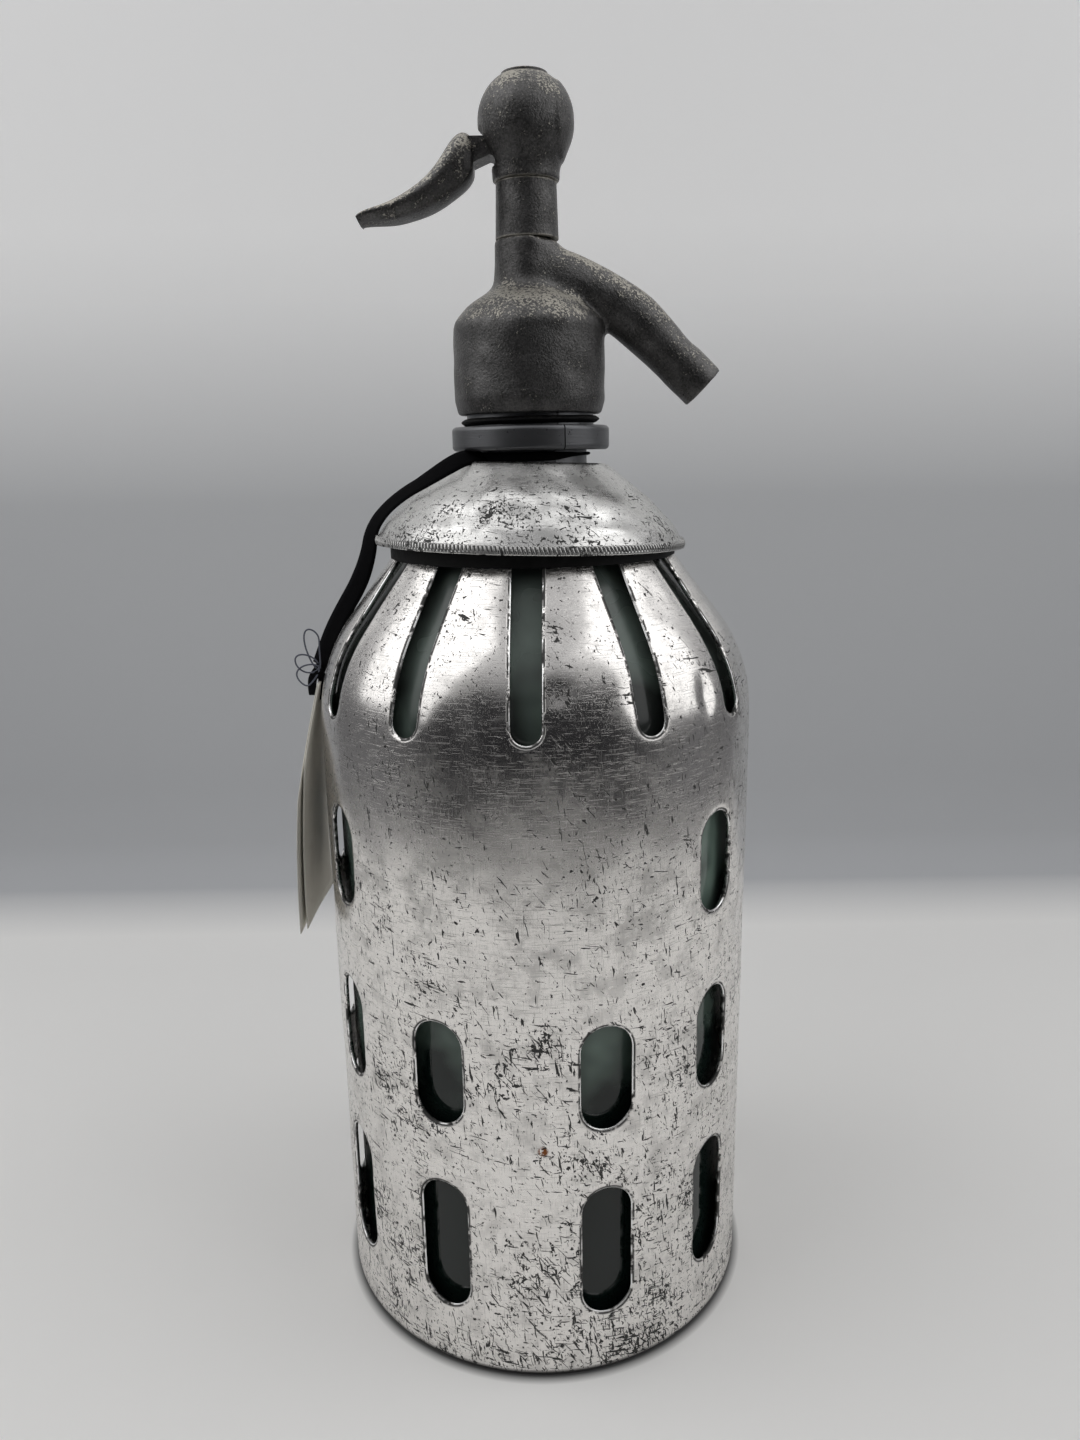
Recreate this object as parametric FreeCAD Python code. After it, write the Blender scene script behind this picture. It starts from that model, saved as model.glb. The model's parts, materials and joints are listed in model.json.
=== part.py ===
import FreeCAD, Part
import math
import os

# A jacketed soda siphon: a thick glass bottle in a windowed aluminium jacket, closed by a cast
# head with a spring valve, a spout and a thumb lever. Millimetres and degrees, +Z up, origin at
# the centre of the foot. The spout points along +X and the lever along -X. An azimuth is measured
# from -Y, the front, and grows towards +X.

V = FreeCAD.Vector
UP = V(0, 0, 1)
run_out = 1.0                     # how far a cutting shape reaches past what it cuts
edge_round = 0.3                  # small rounding left on a turned edge

# ------------------------------------------------------------------------ driving dimensions

# Jacket: a spun can with a slotted shoulder, its foot rolled under the base plate.
jacket_radius = 57.0
jacket_wall = 1.2
foot_corner = 2.0
foot_lip_radius = 50.0
shoulder_corner_z = 178.45        # where wall and shoulder cone would meet without their bend
shoulder_lean = 37.0              # the cone's lean from upright
shoulder_bend = 43.2
shoulder_top_corner = 30.362      # radius where the cone would meet the shoulder's flat top
shoulder_top_bend = 12.0
jacket_mouth_radius = 17.5

# Windows: rows of upright obround holes, in columns with a wider gap at the front and the back.
window_width = 13.0
window_foot_z = 18.1
window_heights = (36.3, 27.5, 25.5)
window_gaps = (17.0, 21.4)
window_columns = 10
panel_gap = 42.4
panel_azimuth = -5.0

# Shoulder slots, closed at both ends; their upper ends lie under the dome.
slot_count = 12
slot_width = 7.0
slot_below_corner = 9.65
slot_end_radius = 34.0
slot_phase = -2.0

# Base plate and pad.
plate_thickness = 1.2
plate_lip_gap = 0.4               # between the plate's step and the rolled lip
plate_corner_ease = 0.2
pad_thickness = 3.0
pad_gap = 2.4                     # between the pad and the wall of the plate's well

# Glass bottle.
glass_gap = 2.3                   # between the jacket's inside and the glass
glass_wall = 4.5
glass_floor = 6.0
glass_foot_corner = 6.0
glass_neck_radius = 12.5
glass_neck_sweep = 9.0
mouth_bore = 8.5
neck_rise = 23.2                  # from the shoulder's flat top to the foot of the bead
bead_radius = 14.2
bead_cone_rise = 1.9
bead_height = 8.0
bead_round = 2.2

# Dome over the shoulder, on a rubber ring.
dome_rim_radius = 39.9
dome_lift = 6.6                   # the rim's height above the shoulder's cone
dome_sheet = 1.0
dome_edge = 0.8                   # upright part of the rim
dome_knee = (2.6, 0.277)          # inset from the rim, and share of the dome's height
dome_knee_bend = 8.0
dome_waist = (8.9, 0.599)
dome_waist_bend = 40.0
dome_top_radius = 19.9
dome_top_rise = 14.142            # the dome's top above the shoulder's flat top
dome_lip = 0.4
dome_lip_width = 0.8
dome_lip_root = 1.8
dome_top_bend = 1.5
dome_mouth_radius = 15.4
dome_tilt = 1.9                   # the dome sits a little askew on its ring
dome_high_side = -62.0            # azimuth of its raised side
ring_inset = 3.1                  # from the dome's rim in to the ring
ring_width = 3.6

# Split collar that grips under the bead.
liner_wall = 0.5
collar_foot_gap = 0.2             # between the collar and the bushing under it
bead_clearance = 0.4
bead_seat_gap = 0.15
collar_sleeve_round = 0.5
collar_skirt_radius = 14.2
collar_flange_radius = 19.9
collar_flange_height = 5.9
collar_flange_round = 1.1
flange_above_bead_foot = 0.2
collar_sleeve_radius = 16.0
collar_sleeve_height = 6.3
collar_split_gap = 0.3
collar_split_azimuth = 24.6
bushing_radius = 19.0

# Cast head body: skirt, shoulder and lower neck.
gasket_thickness = 2.2
gasket_gap = 0.4
skirt_thread_gap = 0.3
skirt_drop = 7.2                  # the skirt's edge below the head's ceiling
skirt_radius = 18.85
skirt_edge_inset = 0.9
skirt_edge_rise = 3.5
skirt_round = 3.0
skirt_height = 21.5
head_shoulder_round = 4.0
head_knee = (14.5, 26.3)          # radius, and height above the skirt's edge
head_knee_bend = 6.0
head_neck_bend = 3.0
head_neck_foot = 30.0
head_neck_radius = 8.35
head_neck_top_radius = 7.95
head_height = 40.8
chamber_radius = 5.6
chamber_floor = 22.0              # height above the skirt's edge

# Spout: a tapered tube, first level and then bent down.
spout_axis_height = 31.7
spout_bend = 41.8
spout_dip = 44.0
spout_straight = 12.3
nozzle_length = 8.0
nozzle_radius = 5.85
nozzle_step = 0.05                # the nozzle stands this proud of the taper before it
spout_bore = 3.2
spout_root_inset = 3.0
# Share of the tapered length, half width and half height.
spout_sections = ((0.0, 7.2, 8.6), (0.13, 7.0, 7.9), (0.26, 6.7, 6.9), (0.5, 6.4, 6.4), (0.78, 6.1, 6.1))

# Dip tube and its sleeve.
tube_radius = 3.2
tube_wall = 1.0
tube_foot_gap = 6.0
sleeve_wall = 1.8
socket_depth = 8.8

# Valve.
seat_depth = 3.0
seat_wall = 2.2
seat_bore = 2.4
seat_lip = 0.4
seat_lip_wall = 0.8
washer_radius = 4.2
washer_thickness = 2.0
disc_radius = 4.7
disc_thickness = 2.0
stem_radius = 1.9
stem_above_nut = 2.9
screw_radius = 1.0
screw_head_radius = 1.8
screw_head_height = 1.0
screw_depth = 4.0
stem_clearance = 0.05
nut_radius = 3.8
nut_height = 2.2
nut_gap = 0.15                    # between the lever's fork and the stem nut at rest

# Valve barrel between head body and lever housing.
barrel_height = 12.9
barrel_foot_radius = 7.7
barrel_top_radius = 7.33
barrel_seam_chamfer = 0.3
barrel_spigot_length = 5.8
barrel_top_spigot_radius = 5.4
barrel_top_spigot_length = 3.8
packing_radius = 4.0
packing_height = 4.5
packing_floor = 2.5               # height above the barrel's foot
gland_height = 4.3
gland_slot_width = 1.2
gland_slot_depth = 1.4

# Lever housing: a ball on a flared foot.
housing_foot_radius = 8.1
housing_flare_foot = 2.9
housing_flare_foot_bend = 8.0
housing_flare_top = 10.3
housing_flare_top_bend = 10.0
ball_radius = 11.3
ball_height = 24.3                # full height of the ball's top above the housing's foot
cavity_radius = 6.0
cavity_roof = 18.2
cap_radius = 5.6
cap_spigot_radius = 4.7
cap_spigot_length = 4.6
cap_edge = 0.6
cap_crown = 0.3
cap_slot_width = 1.3
cap_slot_depth = 0.5

# Cover plug on the spout side of the housing.
plug_radius = 8.8
plug_height = 13.0
plug_seat_x = 7.0
plug_proud = 0.4
plug_spigot_radius = 4.8
plug_spigot_length = 1.2

# Lever, pivoted on a pin across the housing.
pivot_x = -6.5
pivot_height = 7.3
pin_radius = 1.2
pin_clearance = 0.05
pin_front_end = -5.6
lever_half_width = 3.8
lever_side_clearance = 0.3
lever_boss_radius = 2.3
lever_press_deg = 18.0
fork_arm = 6.6
fork_nose_radius = 1.3
fork_slot_half_width = 2.3
fork_root_gap = 1.3               # between the stem and the root of the fork
fork_top_drop = 0.3               # the arm's top below the pivot, clear of the stem nut
slot_foot = 3.5
slot_head = 11.5

# Lever stations from the head to the tip: underside (x, z), top (x, z), half width, and how far
# down from the top the ridge lies, as a share. Heights are above the housing's foot.
lever_stations = (
    ((-12.4, 2.9), (-12.6, 9.6), 4.2, 0.45),
    ((-13.2, 0.3), (-14.6, 11.0), 5.3, 0.45),
    ((-16.2, -2.3), (-17.4, 9.6), 6.0, 0.42),
    ((-19.5, -4.4), (-20.2, 5.8), 6.4, 0.40),
    ((-23.5, -6.3), (-23.9, 1.5), 6.6, 0.36),
    ((-28.2, -7.7), (-28.7, -1.9), 6.4, 0.32),
    ((-33.8, -8.6), (-34.4, -4.5), 5.7, 0.30),
    ((-40.1, -9.3), (-41.0, -7.2), 4.7, 0.30),
)
# The lever's neck between horn and pivot, seen from the front.
lever_neck = (
    (-13.6, 9.5), (-10.6, 9.5), (pivot_x, 9.2), (pivot_x, 5.0), (-8.6, 5.4), (-12.0, 4.0), (-13.6, 3.4),
)
# Right half of the lever's cross section from its back down: share of the half width, and share
# of the ridge's drop for the back, or of the ridge's height for the flank and belly.
lever_back = ((0.0, 0.0), (0.42, 0.10), (0.80, 0.42))
lever_flank = ((1.0, 1.0), (0.97, 0.55), (0.80, 0.16), (0.42, 0.0))

# Valve spring.
spring_wire = 0.35
spring_radius = 3.1
spring_turns = 4
spring_arcs = 6                   # arcs that make up one turn

# Ribbon and blank card tag tied round the neck.
loop_clearance = 0.05
loop_thickness = 0.9
loop_height = 2.3
ribbon_radius = 1.0
ribbon_route = (
    (-11.6, -9.8, 230.15), (-15.6, -13.2, 230.15), (-20.0, -14.6, 228.0), (-25.9, -13.2, 224.6),
    (-32.6, -9.2, 220.9), (-37.5, -5.8, 217.1), (-41.2, -3.8, 212.4), (-42.6, -2.6, 205.6),
    (-45.6, -1.6, 198.4), (-50.4, -1.0, 191.0), (-54.4, -1.0, 183.8), (-57.2, -1.0, 176.6),
)
ribbon_arc_share = 0.45
tag_width = 37.0
tag_length = 65.0
tag_shoulder = 28.0
tag_head_width = 7.0
tag_thickness = 0.5
tag_lean = 5.5
tag_head = (-57.6, -1.0, 172.4)
tag_hole_radius = 1.6
tag_hole_drop = 3.4
knot_radius = 1.9
knot_seat = 1.5                   # from the ribbon's end to the knot's middle
tail_thickness = 0.6
tail_length = 6.0

# ------------------------------------------------------------------------ sizes that follow

shoulder_run = jacket_radius - shoulder_top_corner
shoulder_top_z = shoulder_corner_z + shoulder_run / math.tan(math.radians(shoulder_lean))
bead_foot_z = shoulder_top_z + neck_rise
mouth_z = bead_foot_z + bead_height
glass_foot_z = plate_thickness + pad_thickness
glass_inset = jacket_wall + glass_gap

flange_top_z = bead_foot_z + flange_above_bead_foot
flange_foot_z = flange_top_z - collar_flange_height
ceiling_z = mouth_z + gasket_thickness
head_foot_z = ceiling_z - skirt_drop
skirt_bore = collar_sleeve_radius + skirt_thread_gap
chamber_floor_z = head_foot_z + chamber_floor
barrel_foot_z = head_foot_z + head_height
housing_foot_z = barrel_foot_z + barrel_height
pivot_z = housing_foot_z + pivot_height
cavity_roof_z = housing_foot_z + cavity_roof
spout_axis_z = head_foot_z + spout_axis_height

seat_face_z = chamber_floor_z + seat_lip
disc_foot_z = seat_face_z + washer_thickness
disc_top_z = disc_foot_z + disc_thickness

# The fork's nose starts half the travel below the pivot and ends half above it.
fork_rest_angle = math.radians(-lever_press_deg / 2)
fork_nose_x = pivot_x + fork_arm * math.cos(fork_rest_angle)
fork_nose_z = pivot_z + fork_arm * math.sin(fork_rest_angle)
nut_foot_z = fork_nose_z + fork_nose_radius + nut_gap
nut_top_z = nut_foot_z + nut_height

cap_seat_z = housing_foot_z + ball_height - ball_radius + math.sqrt(ball_radius ** 2 - cap_radius ** 2)
cap_spigot_foot_z = cap_seat_z - cap_spigot_length


# ------------------------------------------------------------------------ construction helpers

def corner_reach(before, corner, after, radius):
    """How far a rounded corner's arc reaches along its two sides."""
    inward = (before - corner).normalize()
    outward = (after - corner).normalize()
    half_turn = (math.pi - inward.getAngle(outward)) / 2
    return radius * math.tan(half_turn)


def rounded_wire(corners):
    """Closed wire in the XZ plane through (x, z) corners; a third value is that corner's radius.

    Where two arcs would meet on a side, both are made smaller until they fit on it.
    """
    points = [V(corner[0], 0, corner[1]) for corner in corners]
    radii = [corner[2] if len(corner) > 2 else 0.0 for corner in corners]
    count = len(points)
    reach = [0.0] * count
    for index in range(count):
        if radii[index] > 0:
            before = points[index - 1]
            after = points[(index + 1) % count]
            reach[index] = corner_reach(before, points[index], after, radii[index])
    share = [1.0] * count
    for index in range(count):
        follower = (index + 1) % count
        side = points[index].distanceToPoint(points[follower])
        needed = reach[index] + reach[follower]
        if needed > 0.98 * side:
            share[index] = min(share[index], 0.98 * side / needed)
            share[follower] = min(share[follower], 0.98 * side / needed)
    edges = []
    ends = []
    for index in range(count):
        corner = points[index]
        used = reach[index] * share[index]
        if used < 1e-6:
            ends.append((corner, corner))
            continue
        to_before = (points[index - 1] - corner).normalize()
        to_after = (points[(index + 1) % count] - corner).normalize()
        half_turn = (math.pi - to_before.getAngle(to_after)) / 2
        radius = used / math.tan(half_turn)
        middle = corner + (to_before + to_after).normalize() * (radius / math.cos(half_turn) - radius)
        start = corner + to_before * used
        end = corner + to_after * used
        ends.append((start, end))
        edges.append((index, Part.Arc(start, middle, end).toShape()))
    sides = []
    for index in range(count):
        start = ends[index][1]
        end = ends[(index + 1) % count][0]
        if start.distanceToPoint(end) > 1e-6:
            sides.append((index + 0.5, Part.LineSegment(start, end).toShape()))
    ordered = [edge for place, edge in sorted(edges + sides, key=lambda entry: entry[0])]
    return Part.Wire(ordered)


def spin(corners):
    """Solid of revolution about Z from a closed outline of (radius, z[, corner radius])."""
    return Part.Face(rounded_wire(corners)).revolve(V(0, 0, 0), UP, 360)


def plate(corners, y_low, y_high):
    """Straight extrusion along Y of a closed XZ outline."""
    face = Part.Face(rounded_wire(corners))
    face.translate(V(0, y_low, 0))
    return face.extrude(V(0, y_high - y_low, 0))


def tube(inner, outer, z_low, z_high):
    return spin([(inner, z_low), (outer, z_low), (outer, z_high), (inner, z_high)])


def disc(radius, z_low, z_high):
    return Part.makeCylinder(radius, z_high - z_low, V(0, 0, z_low))


def cross_bar(radius, x, z, y_low, y_high):
    """Round bar along Y."""
    return Part.makeCylinder(radius, y_high - y_low, V(x, y_low, z), V(0, 1, 0))


def long_bar(radius, z, x_low, x_high):
    """Round bar along X in the middle plane."""
    return Part.makeCylinder(radius, x_high - x_low, V(x_low, 0, z), V(1, 0, 0))


def block(x_low, x_high, half_width, z_low, z_high):
    return Part.makeBox(x_high - x_low, 2 * half_width, z_high - z_low, V(x_low, -half_width, z_low))


def turned(shape, azimuth):
    """Copy of a shape built at +X, moved round to an azimuth."""
    copy = shape.copy()
    copy.rotate(V(0, 0, 0), UP, azimuth - 90)
    return copy


# ------------------------------------------------------------------------ body and bottle

lean = math.radians(shoulder_lean)
cone_level = jacket_radius * math.cos(lean) + shoulder_corner_z * math.sin(lean)


def shoulder_corners(inset):
    """The wall's upper corner and the shoulder's top corner, a distance inside the outer skin."""
    wall_radius = jacket_radius - inset
    top_z = shoulder_top_z - inset
    corner_z = (cone_level - inset - wall_radius * math.cos(lean)) / math.sin(lean)
    corner_radius = (cone_level - inset - top_z * math.sin(lean)) / math.cos(lean)
    lower = (wall_radius, corner_z, shoulder_bend - inset)
    upper = (corner_radius, top_z, shoulder_top_bend - inset)
    return lower, upper


def cone_z(radius):
    """Height of the shoulder cone's outer skin at a radius."""
    return (cone_level - radius * math.cos(lean)) / math.sin(lean)


def jacket_blank():
    lower, upper = shoulder_corners(0.0)
    return spin([(0, 0), (jacket_radius, 0, foot_corner), lower, upper, (0, shoulder_top_z)])


def window_cutter(z_low, z_high):
    """Obround prism along +X that goes through one side of the wall."""
    inner = jacket_radius / 2
    outer = jacket_radius * 1.2
    end_radius = window_width / 2
    cutter = block(inner, outer, end_radius, z_low + end_radius, z_high - end_radius)
    lower_end = long_bar(end_radius, z_low + end_radius, inner, outer)
    upper_end = long_bar(end_radius, z_high - end_radius, inner, outer)
    return cutter.fuse([lower_end, upper_end]).removeSplitter()


def window_azimuths():
    """Columns counted from the middle of the front panel, each half of them to one side."""
    step = (360 - 2 * panel_gap) / (window_columns - 2)
    half = window_columns // 2
    right = [panel_gap / 2 + step * index for index in range(half)]
    return right, [-angle for angle in right]


def make_jacket():
    lower, upper = shoulder_corners(0.0)
    inner_lower, inner_upper = shoulder_corners(jacket_wall)
    inner_wall = jacket_radius - jacket_wall
    shell = spin([
        (foot_lip_radius, 0), (jacket_radius, 0, foot_corner), lower, upper,
        (jacket_mouth_radius, shoulder_top_z), (jacket_mouth_radius, shoulder_top_z - jacket_wall),
        inner_upper, inner_lower, (inner_wall, jacket_wall, foot_corner - jacket_wall),
        (foot_lip_radius, jacket_wall),
    ])
    cutters = []
    row_foot = window_foot_z
    for row, height in enumerate(window_heights):
        cutter = window_cutter(row_foot, row_foot + height)
        top_row = row == len(window_heights) - 1
        for side in window_azimuths():
            # The top row leaves a blank panel at the front and at the back.
            columns = side[1:-1] if top_row else side
            cutters += [turned(cutter, panel_azimuth + angle) for angle in columns]
        if not top_row:
            row_foot += height + window_gaps[row]
    end_radius = slot_width / 2
    slot_foot_z = shoulder_corner_z - slot_below_corner
    reach = jacket_radius * 1.1
    slot = block(slot_end_radius, reach, end_radius, slot_foot_z + end_radius, shoulder_top_z + run_out)
    slot = slot.fuse(long_bar(end_radius, slot_foot_z + end_radius, slot_end_radius, reach))
    for index in range(slot_count):
        cutters.append(turned(slot, slot_phase + index * 360 / slot_count))
    return shell.cut(cutters)


def make_base_plate():
    """Dished plate: its middle is flush with the foot and its rim lies on the rolled lip."""
    rim_radius = jacket_radius - jacket_wall
    rim_corner = foot_corner - jacket_wall + plate_corner_ease
    rim_top_z = jacket_wall + plate_thickness
    step_radius = foot_lip_radius - plate_lip_gap
    well_radius = step_radius - plate_thickness
    return spin([
        (0, 0), (step_radius, 0), (step_radius, jacket_wall), (rim_radius, jacket_wall, rim_corner),
        (rim_radius, rim_top_z), (well_radius, rim_top_z), (well_radius, plate_thickness),
        (0, plate_thickness),
    ])


def make_base_pad():
    well_radius = foot_lip_radius - plate_lip_gap - plate_thickness
    return disc(well_radius - pad_gap, plate_thickness, glass_foot_z)


def glass_outline():
    lower, upper = shoulder_corners(glass_inset)
    wall_foot = (jacket_radius - glass_inset, glass_foot_z, glass_foot_corner)
    neck_foot = (glass_neck_radius, shoulder_top_z - glass_inset, glass_neck_sweep)
    bead = [(bead_radius, bead_foot_z + bead_cone_rise), (bead_radius, mouth_z, bead_round)]
    return [(0, glass_foot_z), wall_foot, lower, upper, neck_foot, (glass_neck_radius, bead_foot_z)] + bead


def glass_blank():
    return spin(glass_outline() + [(0, mouth_z)])


def make_glass_bottle():
    depth = glass_inset + glass_wall
    lower, upper = shoulder_corners(depth)
    floor_z = glass_foot_z + glass_floor
    inner_sweep = glass_neck_sweep + glass_neck_radius - mouth_bore
    inner_neck_foot = (mouth_bore, shoulder_top_z - depth, inner_sweep)
    inner_wall_foot = (jacket_radius - depth, floor_z, glass_foot_corner)
    mouth = (mouth_bore, mouth_z, bead_round / 2)
    return spin(glass_outline() + [mouth, inner_neck_foot, upper, lower, inner_wall_foot, (0, floor_z)])


# ------------------------------------------------------------------------ dome, rings, collar

dome_foot_z = cone_z(dome_rim_radius) + dome_lift
dome_top_z = shoulder_top_z + dome_top_rise
dome_height = dome_top_z - dome_foot_z
ring_outer_radius = dome_rim_radius - ring_inset


def askew(shape):
    """Lean a dome shape about the middle of the dome's top."""
    azimuth = math.radians(dome_high_side)
    high_side = V(math.sin(azimuth), -math.cos(azimuth), 0)
    shape.rotate(V(0, 0, dome_top_z), high_side.cross(UP), dome_tilt)
    return shape


def inset_outline(corners, inset):
    """Open outline of (radius, z, corner radius), moved to its left side by a distance."""
    points = [V(corner[0], 0, corner[1]) for corner in corners]
    normals = []
    for start, end in zip(points, points[1:]):
        along = (end - start).normalize()
        normals.append(V(-along.z, 0, along.x))
    moved = []
    for point, corner, before, after in zip(points, corners, normals[:1] + normals, normals + normals[-1:]):
        place = point + (before + after) * (inset / (1 + before.dot(after)))
        moved.append((place.x, place.z, max(corner[2] - inset, 0.0)))
    return moved


def dome_station(station, bend):
    """Corner of the dome's outline from its inset and its share of the height."""
    return dome_rim_radius - station[0], dome_foot_z + station[1] * dome_height, bend


def dome_corners(inset):
    """Dome outline from the rim up to the middle, a distance inside its outer skin."""
    outline = [
        (dome_rim_radius, dome_foot_z, 0.0), (dome_rim_radius, dome_foot_z + dome_edge, 0.0),
        dome_station(dome_knee, dome_knee_bend), dome_station(dome_waist, dome_waist_bend),
        (dome_top_radius, dome_top_z, dome_top_bend), (0.0, dome_top_z, 0.0),
    ]
    return inset_outline(outline, inset)


def make_shoulder_dome():
    outer = dome_corners(0.0)
    inner = dome_corners(dome_sheet)
    lip = (dome_top_radius - dome_lip_width, dome_top_z + dome_lip, edge_round)
    lip_root = (dome_top_radius - dome_lip_root, dome_top_z, 2 * edge_round)
    mouth = [(dome_mouth_radius, dome_top_z), (dome_mouth_radius, dome_top_z - dome_sheet)]
    return askew(spin(outer[:-1] + [lip, lip_root] + mouth + inner[-2::-1]))


def dome_inside():
    """The space under the dome, as a solid that also reaches down past its rim."""
    inner = dome_corners(dome_sheet)
    low_z = dome_foot_z - 2 * dome_lift
    return askew(spin([(0, low_z), (inner[0][0], low_z)] + inner[1:]))


def make_dome_ring():
    """Ring that fills the gap between the shoulder's cone and the dome's inside."""
    inner = ring_outer_radius - ring_width
    blank = tube(inner, ring_outer_radius, cone_z(ring_outer_radius) - run_out, dome_top_z)
    return blank.common(dome_inside()).cut(jacket_blank())


def make_neck_bushing():
    blank = tube(glass_neck_radius, bushing_radius, shoulder_top_z, dome_top_z - dome_sheet)
    return blank.common(dome_inside()).cut(glass_blank())


collar_skirt_foot_z = dome_top_z - dome_sheet + collar_foot_gap


def make_neck_liner():
    return tube(glass_neck_radius, glass_neck_radius + liner_wall, collar_skirt_foot_z, bead_foot_z)


def make_collar():
    """Flanged sleeve with a conical seat under the bead, still whole."""
    bore = glass_neck_radius + liner_wall
    bead_bore = bead_radius + bead_clearance
    slope = bead_cone_rise / (bead_radius - glass_neck_radius)
    seat_foot = bead_foot_z + (bore - glass_neck_radius) * slope - bead_seat_gap
    seat_top = seat_foot + (bead_bore - bore) * slope
    sleeve_top = flange_top_z + collar_sleeve_height
    skirt = [(bore, collar_skirt_foot_z), (collar_skirt_radius, collar_skirt_foot_z)]
    flange = [
        (collar_skirt_radius, flange_foot_z), (collar_flange_radius, flange_foot_z, collar_flange_round),
        (collar_flange_radius, flange_top_z, collar_flange_round), (collar_sleeve_radius, flange_top_z),
    ]
    sleeve = [(collar_sleeve_radius, sleeve_top, collar_sleeve_round), (bead_bore, sleeve_top)]
    return spin(skirt + flange + sleeve + [(bead_bore, seat_top), (bore, seat_foot)])


def make_collar_halves():
    ring = make_collar()
    size = 2 * collar_flange_radius
    corner = V(-size / 2, collar_split_gap / 2, collar_skirt_foot_z - run_out)
    half_space = Part.makeBox(size, size, 2 * size, corner)
    half_space.rotate(V(0, 0, 0), UP, collar_split_azimuth - 90)
    other_space = half_space.copy()
    other_space.rotate(V(0, 0, 0), UP, 180)
    return ring.common(half_space), ring.common(other_space)


# ------------------------------------------------------------------------ head body and spout

def spout_point(length):
    """Point on the spout's axis and its dip there, a length along it from the siphon's axis."""
    arc_length = spout_bend * math.radians(spout_dip)
    turn = min(length / spout_bend, math.radians(spout_dip))
    past = max(0.0, length - arc_length)
    x = spout_bend * math.sin(turn) + past * math.cos(turn)
    z = spout_axis_z - spout_bend * (1 - math.cos(turn)) - past * math.sin(turn)
    return V(x, 0, z), turn


def spout_section(length, half_width, half_height):
    """Oval across the spout, a length along its axis."""
    centre, turn = spout_point(length)
    placing = FreeCAD.Matrix(
        half_height * math.sin(turn), 0, math.cos(turn), centre.x,
        0, half_width, 0, 0,
        half_height * math.cos(turn), 0, -math.sin(turn), centre.z,
        0, 0, 0, 1)
    return Part.Wire(Part.makeCircle(1.0).transformGeometry(placing))


def make_spout():
    arc_length = spout_bend * math.radians(spout_dip)
    loft_length = arc_length + spout_straight - spout_root_inset
    wires = []
    for share, half_width, half_height in spout_sections:
        wires.append(spout_section(spout_root_inset + share * loft_length, half_width, half_height))
    end_radius = nozzle_radius - nozzle_step
    wires.append(spout_section(spout_root_inset + loft_length, end_radius, end_radius))
    body = Part.makeLoft(wires, True, False)
    centre, turn = spout_point(spout_root_inset + loft_length)
    along = V(math.cos(turn), 0, -math.sin(turn))
    nozzle = Part.makeCylinder(nozzle_radius, nozzle_length, centre, along)
    return body.fuse(nozzle)


def spout_passage():
    """Bore from the valve chamber to the outlet."""
    arc_length = spout_bend * math.radians(spout_dip)
    full_length = arc_length + spout_straight + nozzle_length
    start = spout_point(0)[0]
    middle = spout_point(arc_length / 2)[0]
    bend_end = spout_point(arc_length)[0]
    outlet, dip = spout_point(full_length)
    ring = Part.Wire(Part.makeCircle(spout_bore, start, V(1, 0, 0)))
    path = Part.Wire([Part.Arc(start, middle, bend_end).toShape()])
    bent = path.makePipeShell([ring], True, False)
    along = V(math.cos(dip), 0, -math.sin(dip))
    straight = Part.makeCylinder(spout_bore, bend_end.distanceToPoint(outlet) + run_out, bend_end, along)
    return [bent, straight]


def make_head_body():
    neck_foot_z = head_foot_z + head_neck_foot
    outer = spin([
        (0, head_foot_z), (skirt_radius - skirt_edge_inset, head_foot_z, edge_round),
        (skirt_radius, head_foot_z + skirt_edge_rise, skirt_round),
        (skirt_radius, head_foot_z + skirt_height, head_shoulder_round),
        (head_knee[0], head_foot_z + head_knee[1], head_knee_bend),
        (head_neck_radius, neck_foot_z, head_neck_bend),
        (head_neck_top_radius, barrel_foot_z, barrel_seam_chamfer), (0, barrel_foot_z),
    ])
    body = outer.fuse(make_spout())
    socket_radius = tube_radius + sleeve_wall
    socket_top_z = ceiling_z + socket_depth
    pocket_radius = seat_bore + seat_wall
    pocket_foot_z = chamber_floor_z - seat_depth
    mouth_low_z = head_foot_z - run_out
    chamber_high_z = barrel_foot_z + run_out
    hollow = spin([
        (0, mouth_low_z), (skirt_bore, mouth_low_z), (skirt_bore, ceiling_z), (socket_radius, ceiling_z),
        (socket_radius, socket_top_z), (seat_bore, socket_top_z), (seat_bore, pocket_foot_z),
        (pocket_radius, pocket_foot_z), (pocket_radius, chamber_floor_z), (chamber_radius, chamber_floor_z),
        (chamber_radius, chamber_high_z), (0, chamber_high_z),
    ])
    return body.cut([hollow] + spout_passage())


def make_mouth_gasket():
    return tube(mouth_bore, skirt_bore - gasket_gap, mouth_z, ceiling_z)


def make_dip_tube():
    foot = glass_foot_z + glass_floor + tube_foot_gap
    return tube(tube_radius - tube_wall, tube_radius, foot, ceiling_z + socket_depth)


def make_tube_sleeve():
    return tube(tube_radius, tube_radius + sleeve_wall, ceiling_z, ceiling_z + socket_depth)


# ------------------------------------------------------------------------ valve

def make_valve_seat():
    outer = seat_bore + seat_wall
    lip_radius = seat_bore + seat_lip_wall
    return spin([
        (seat_bore, chamber_floor_z - seat_depth), (outer, chamber_floor_z - seat_depth),
        (outer, chamber_floor_z), (lip_radius + seat_lip, chamber_floor_z), (lip_radius, seat_face_z),
        (seat_bore, seat_face_z),
    ])


def make_valve_stem():
    top_z = nut_top_z + stem_above_nut
    return spin([
        (screw_radius, disc_foot_z), (disc_radius, disc_foot_z), (disc_radius, disc_top_z, edge_round),
        (stem_radius, disc_top_z), (stem_radius, top_z, edge_round), (0, top_z),
        (0, disc_foot_z + screw_depth), (screw_radius, disc_foot_z + screw_depth),
    ])


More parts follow.
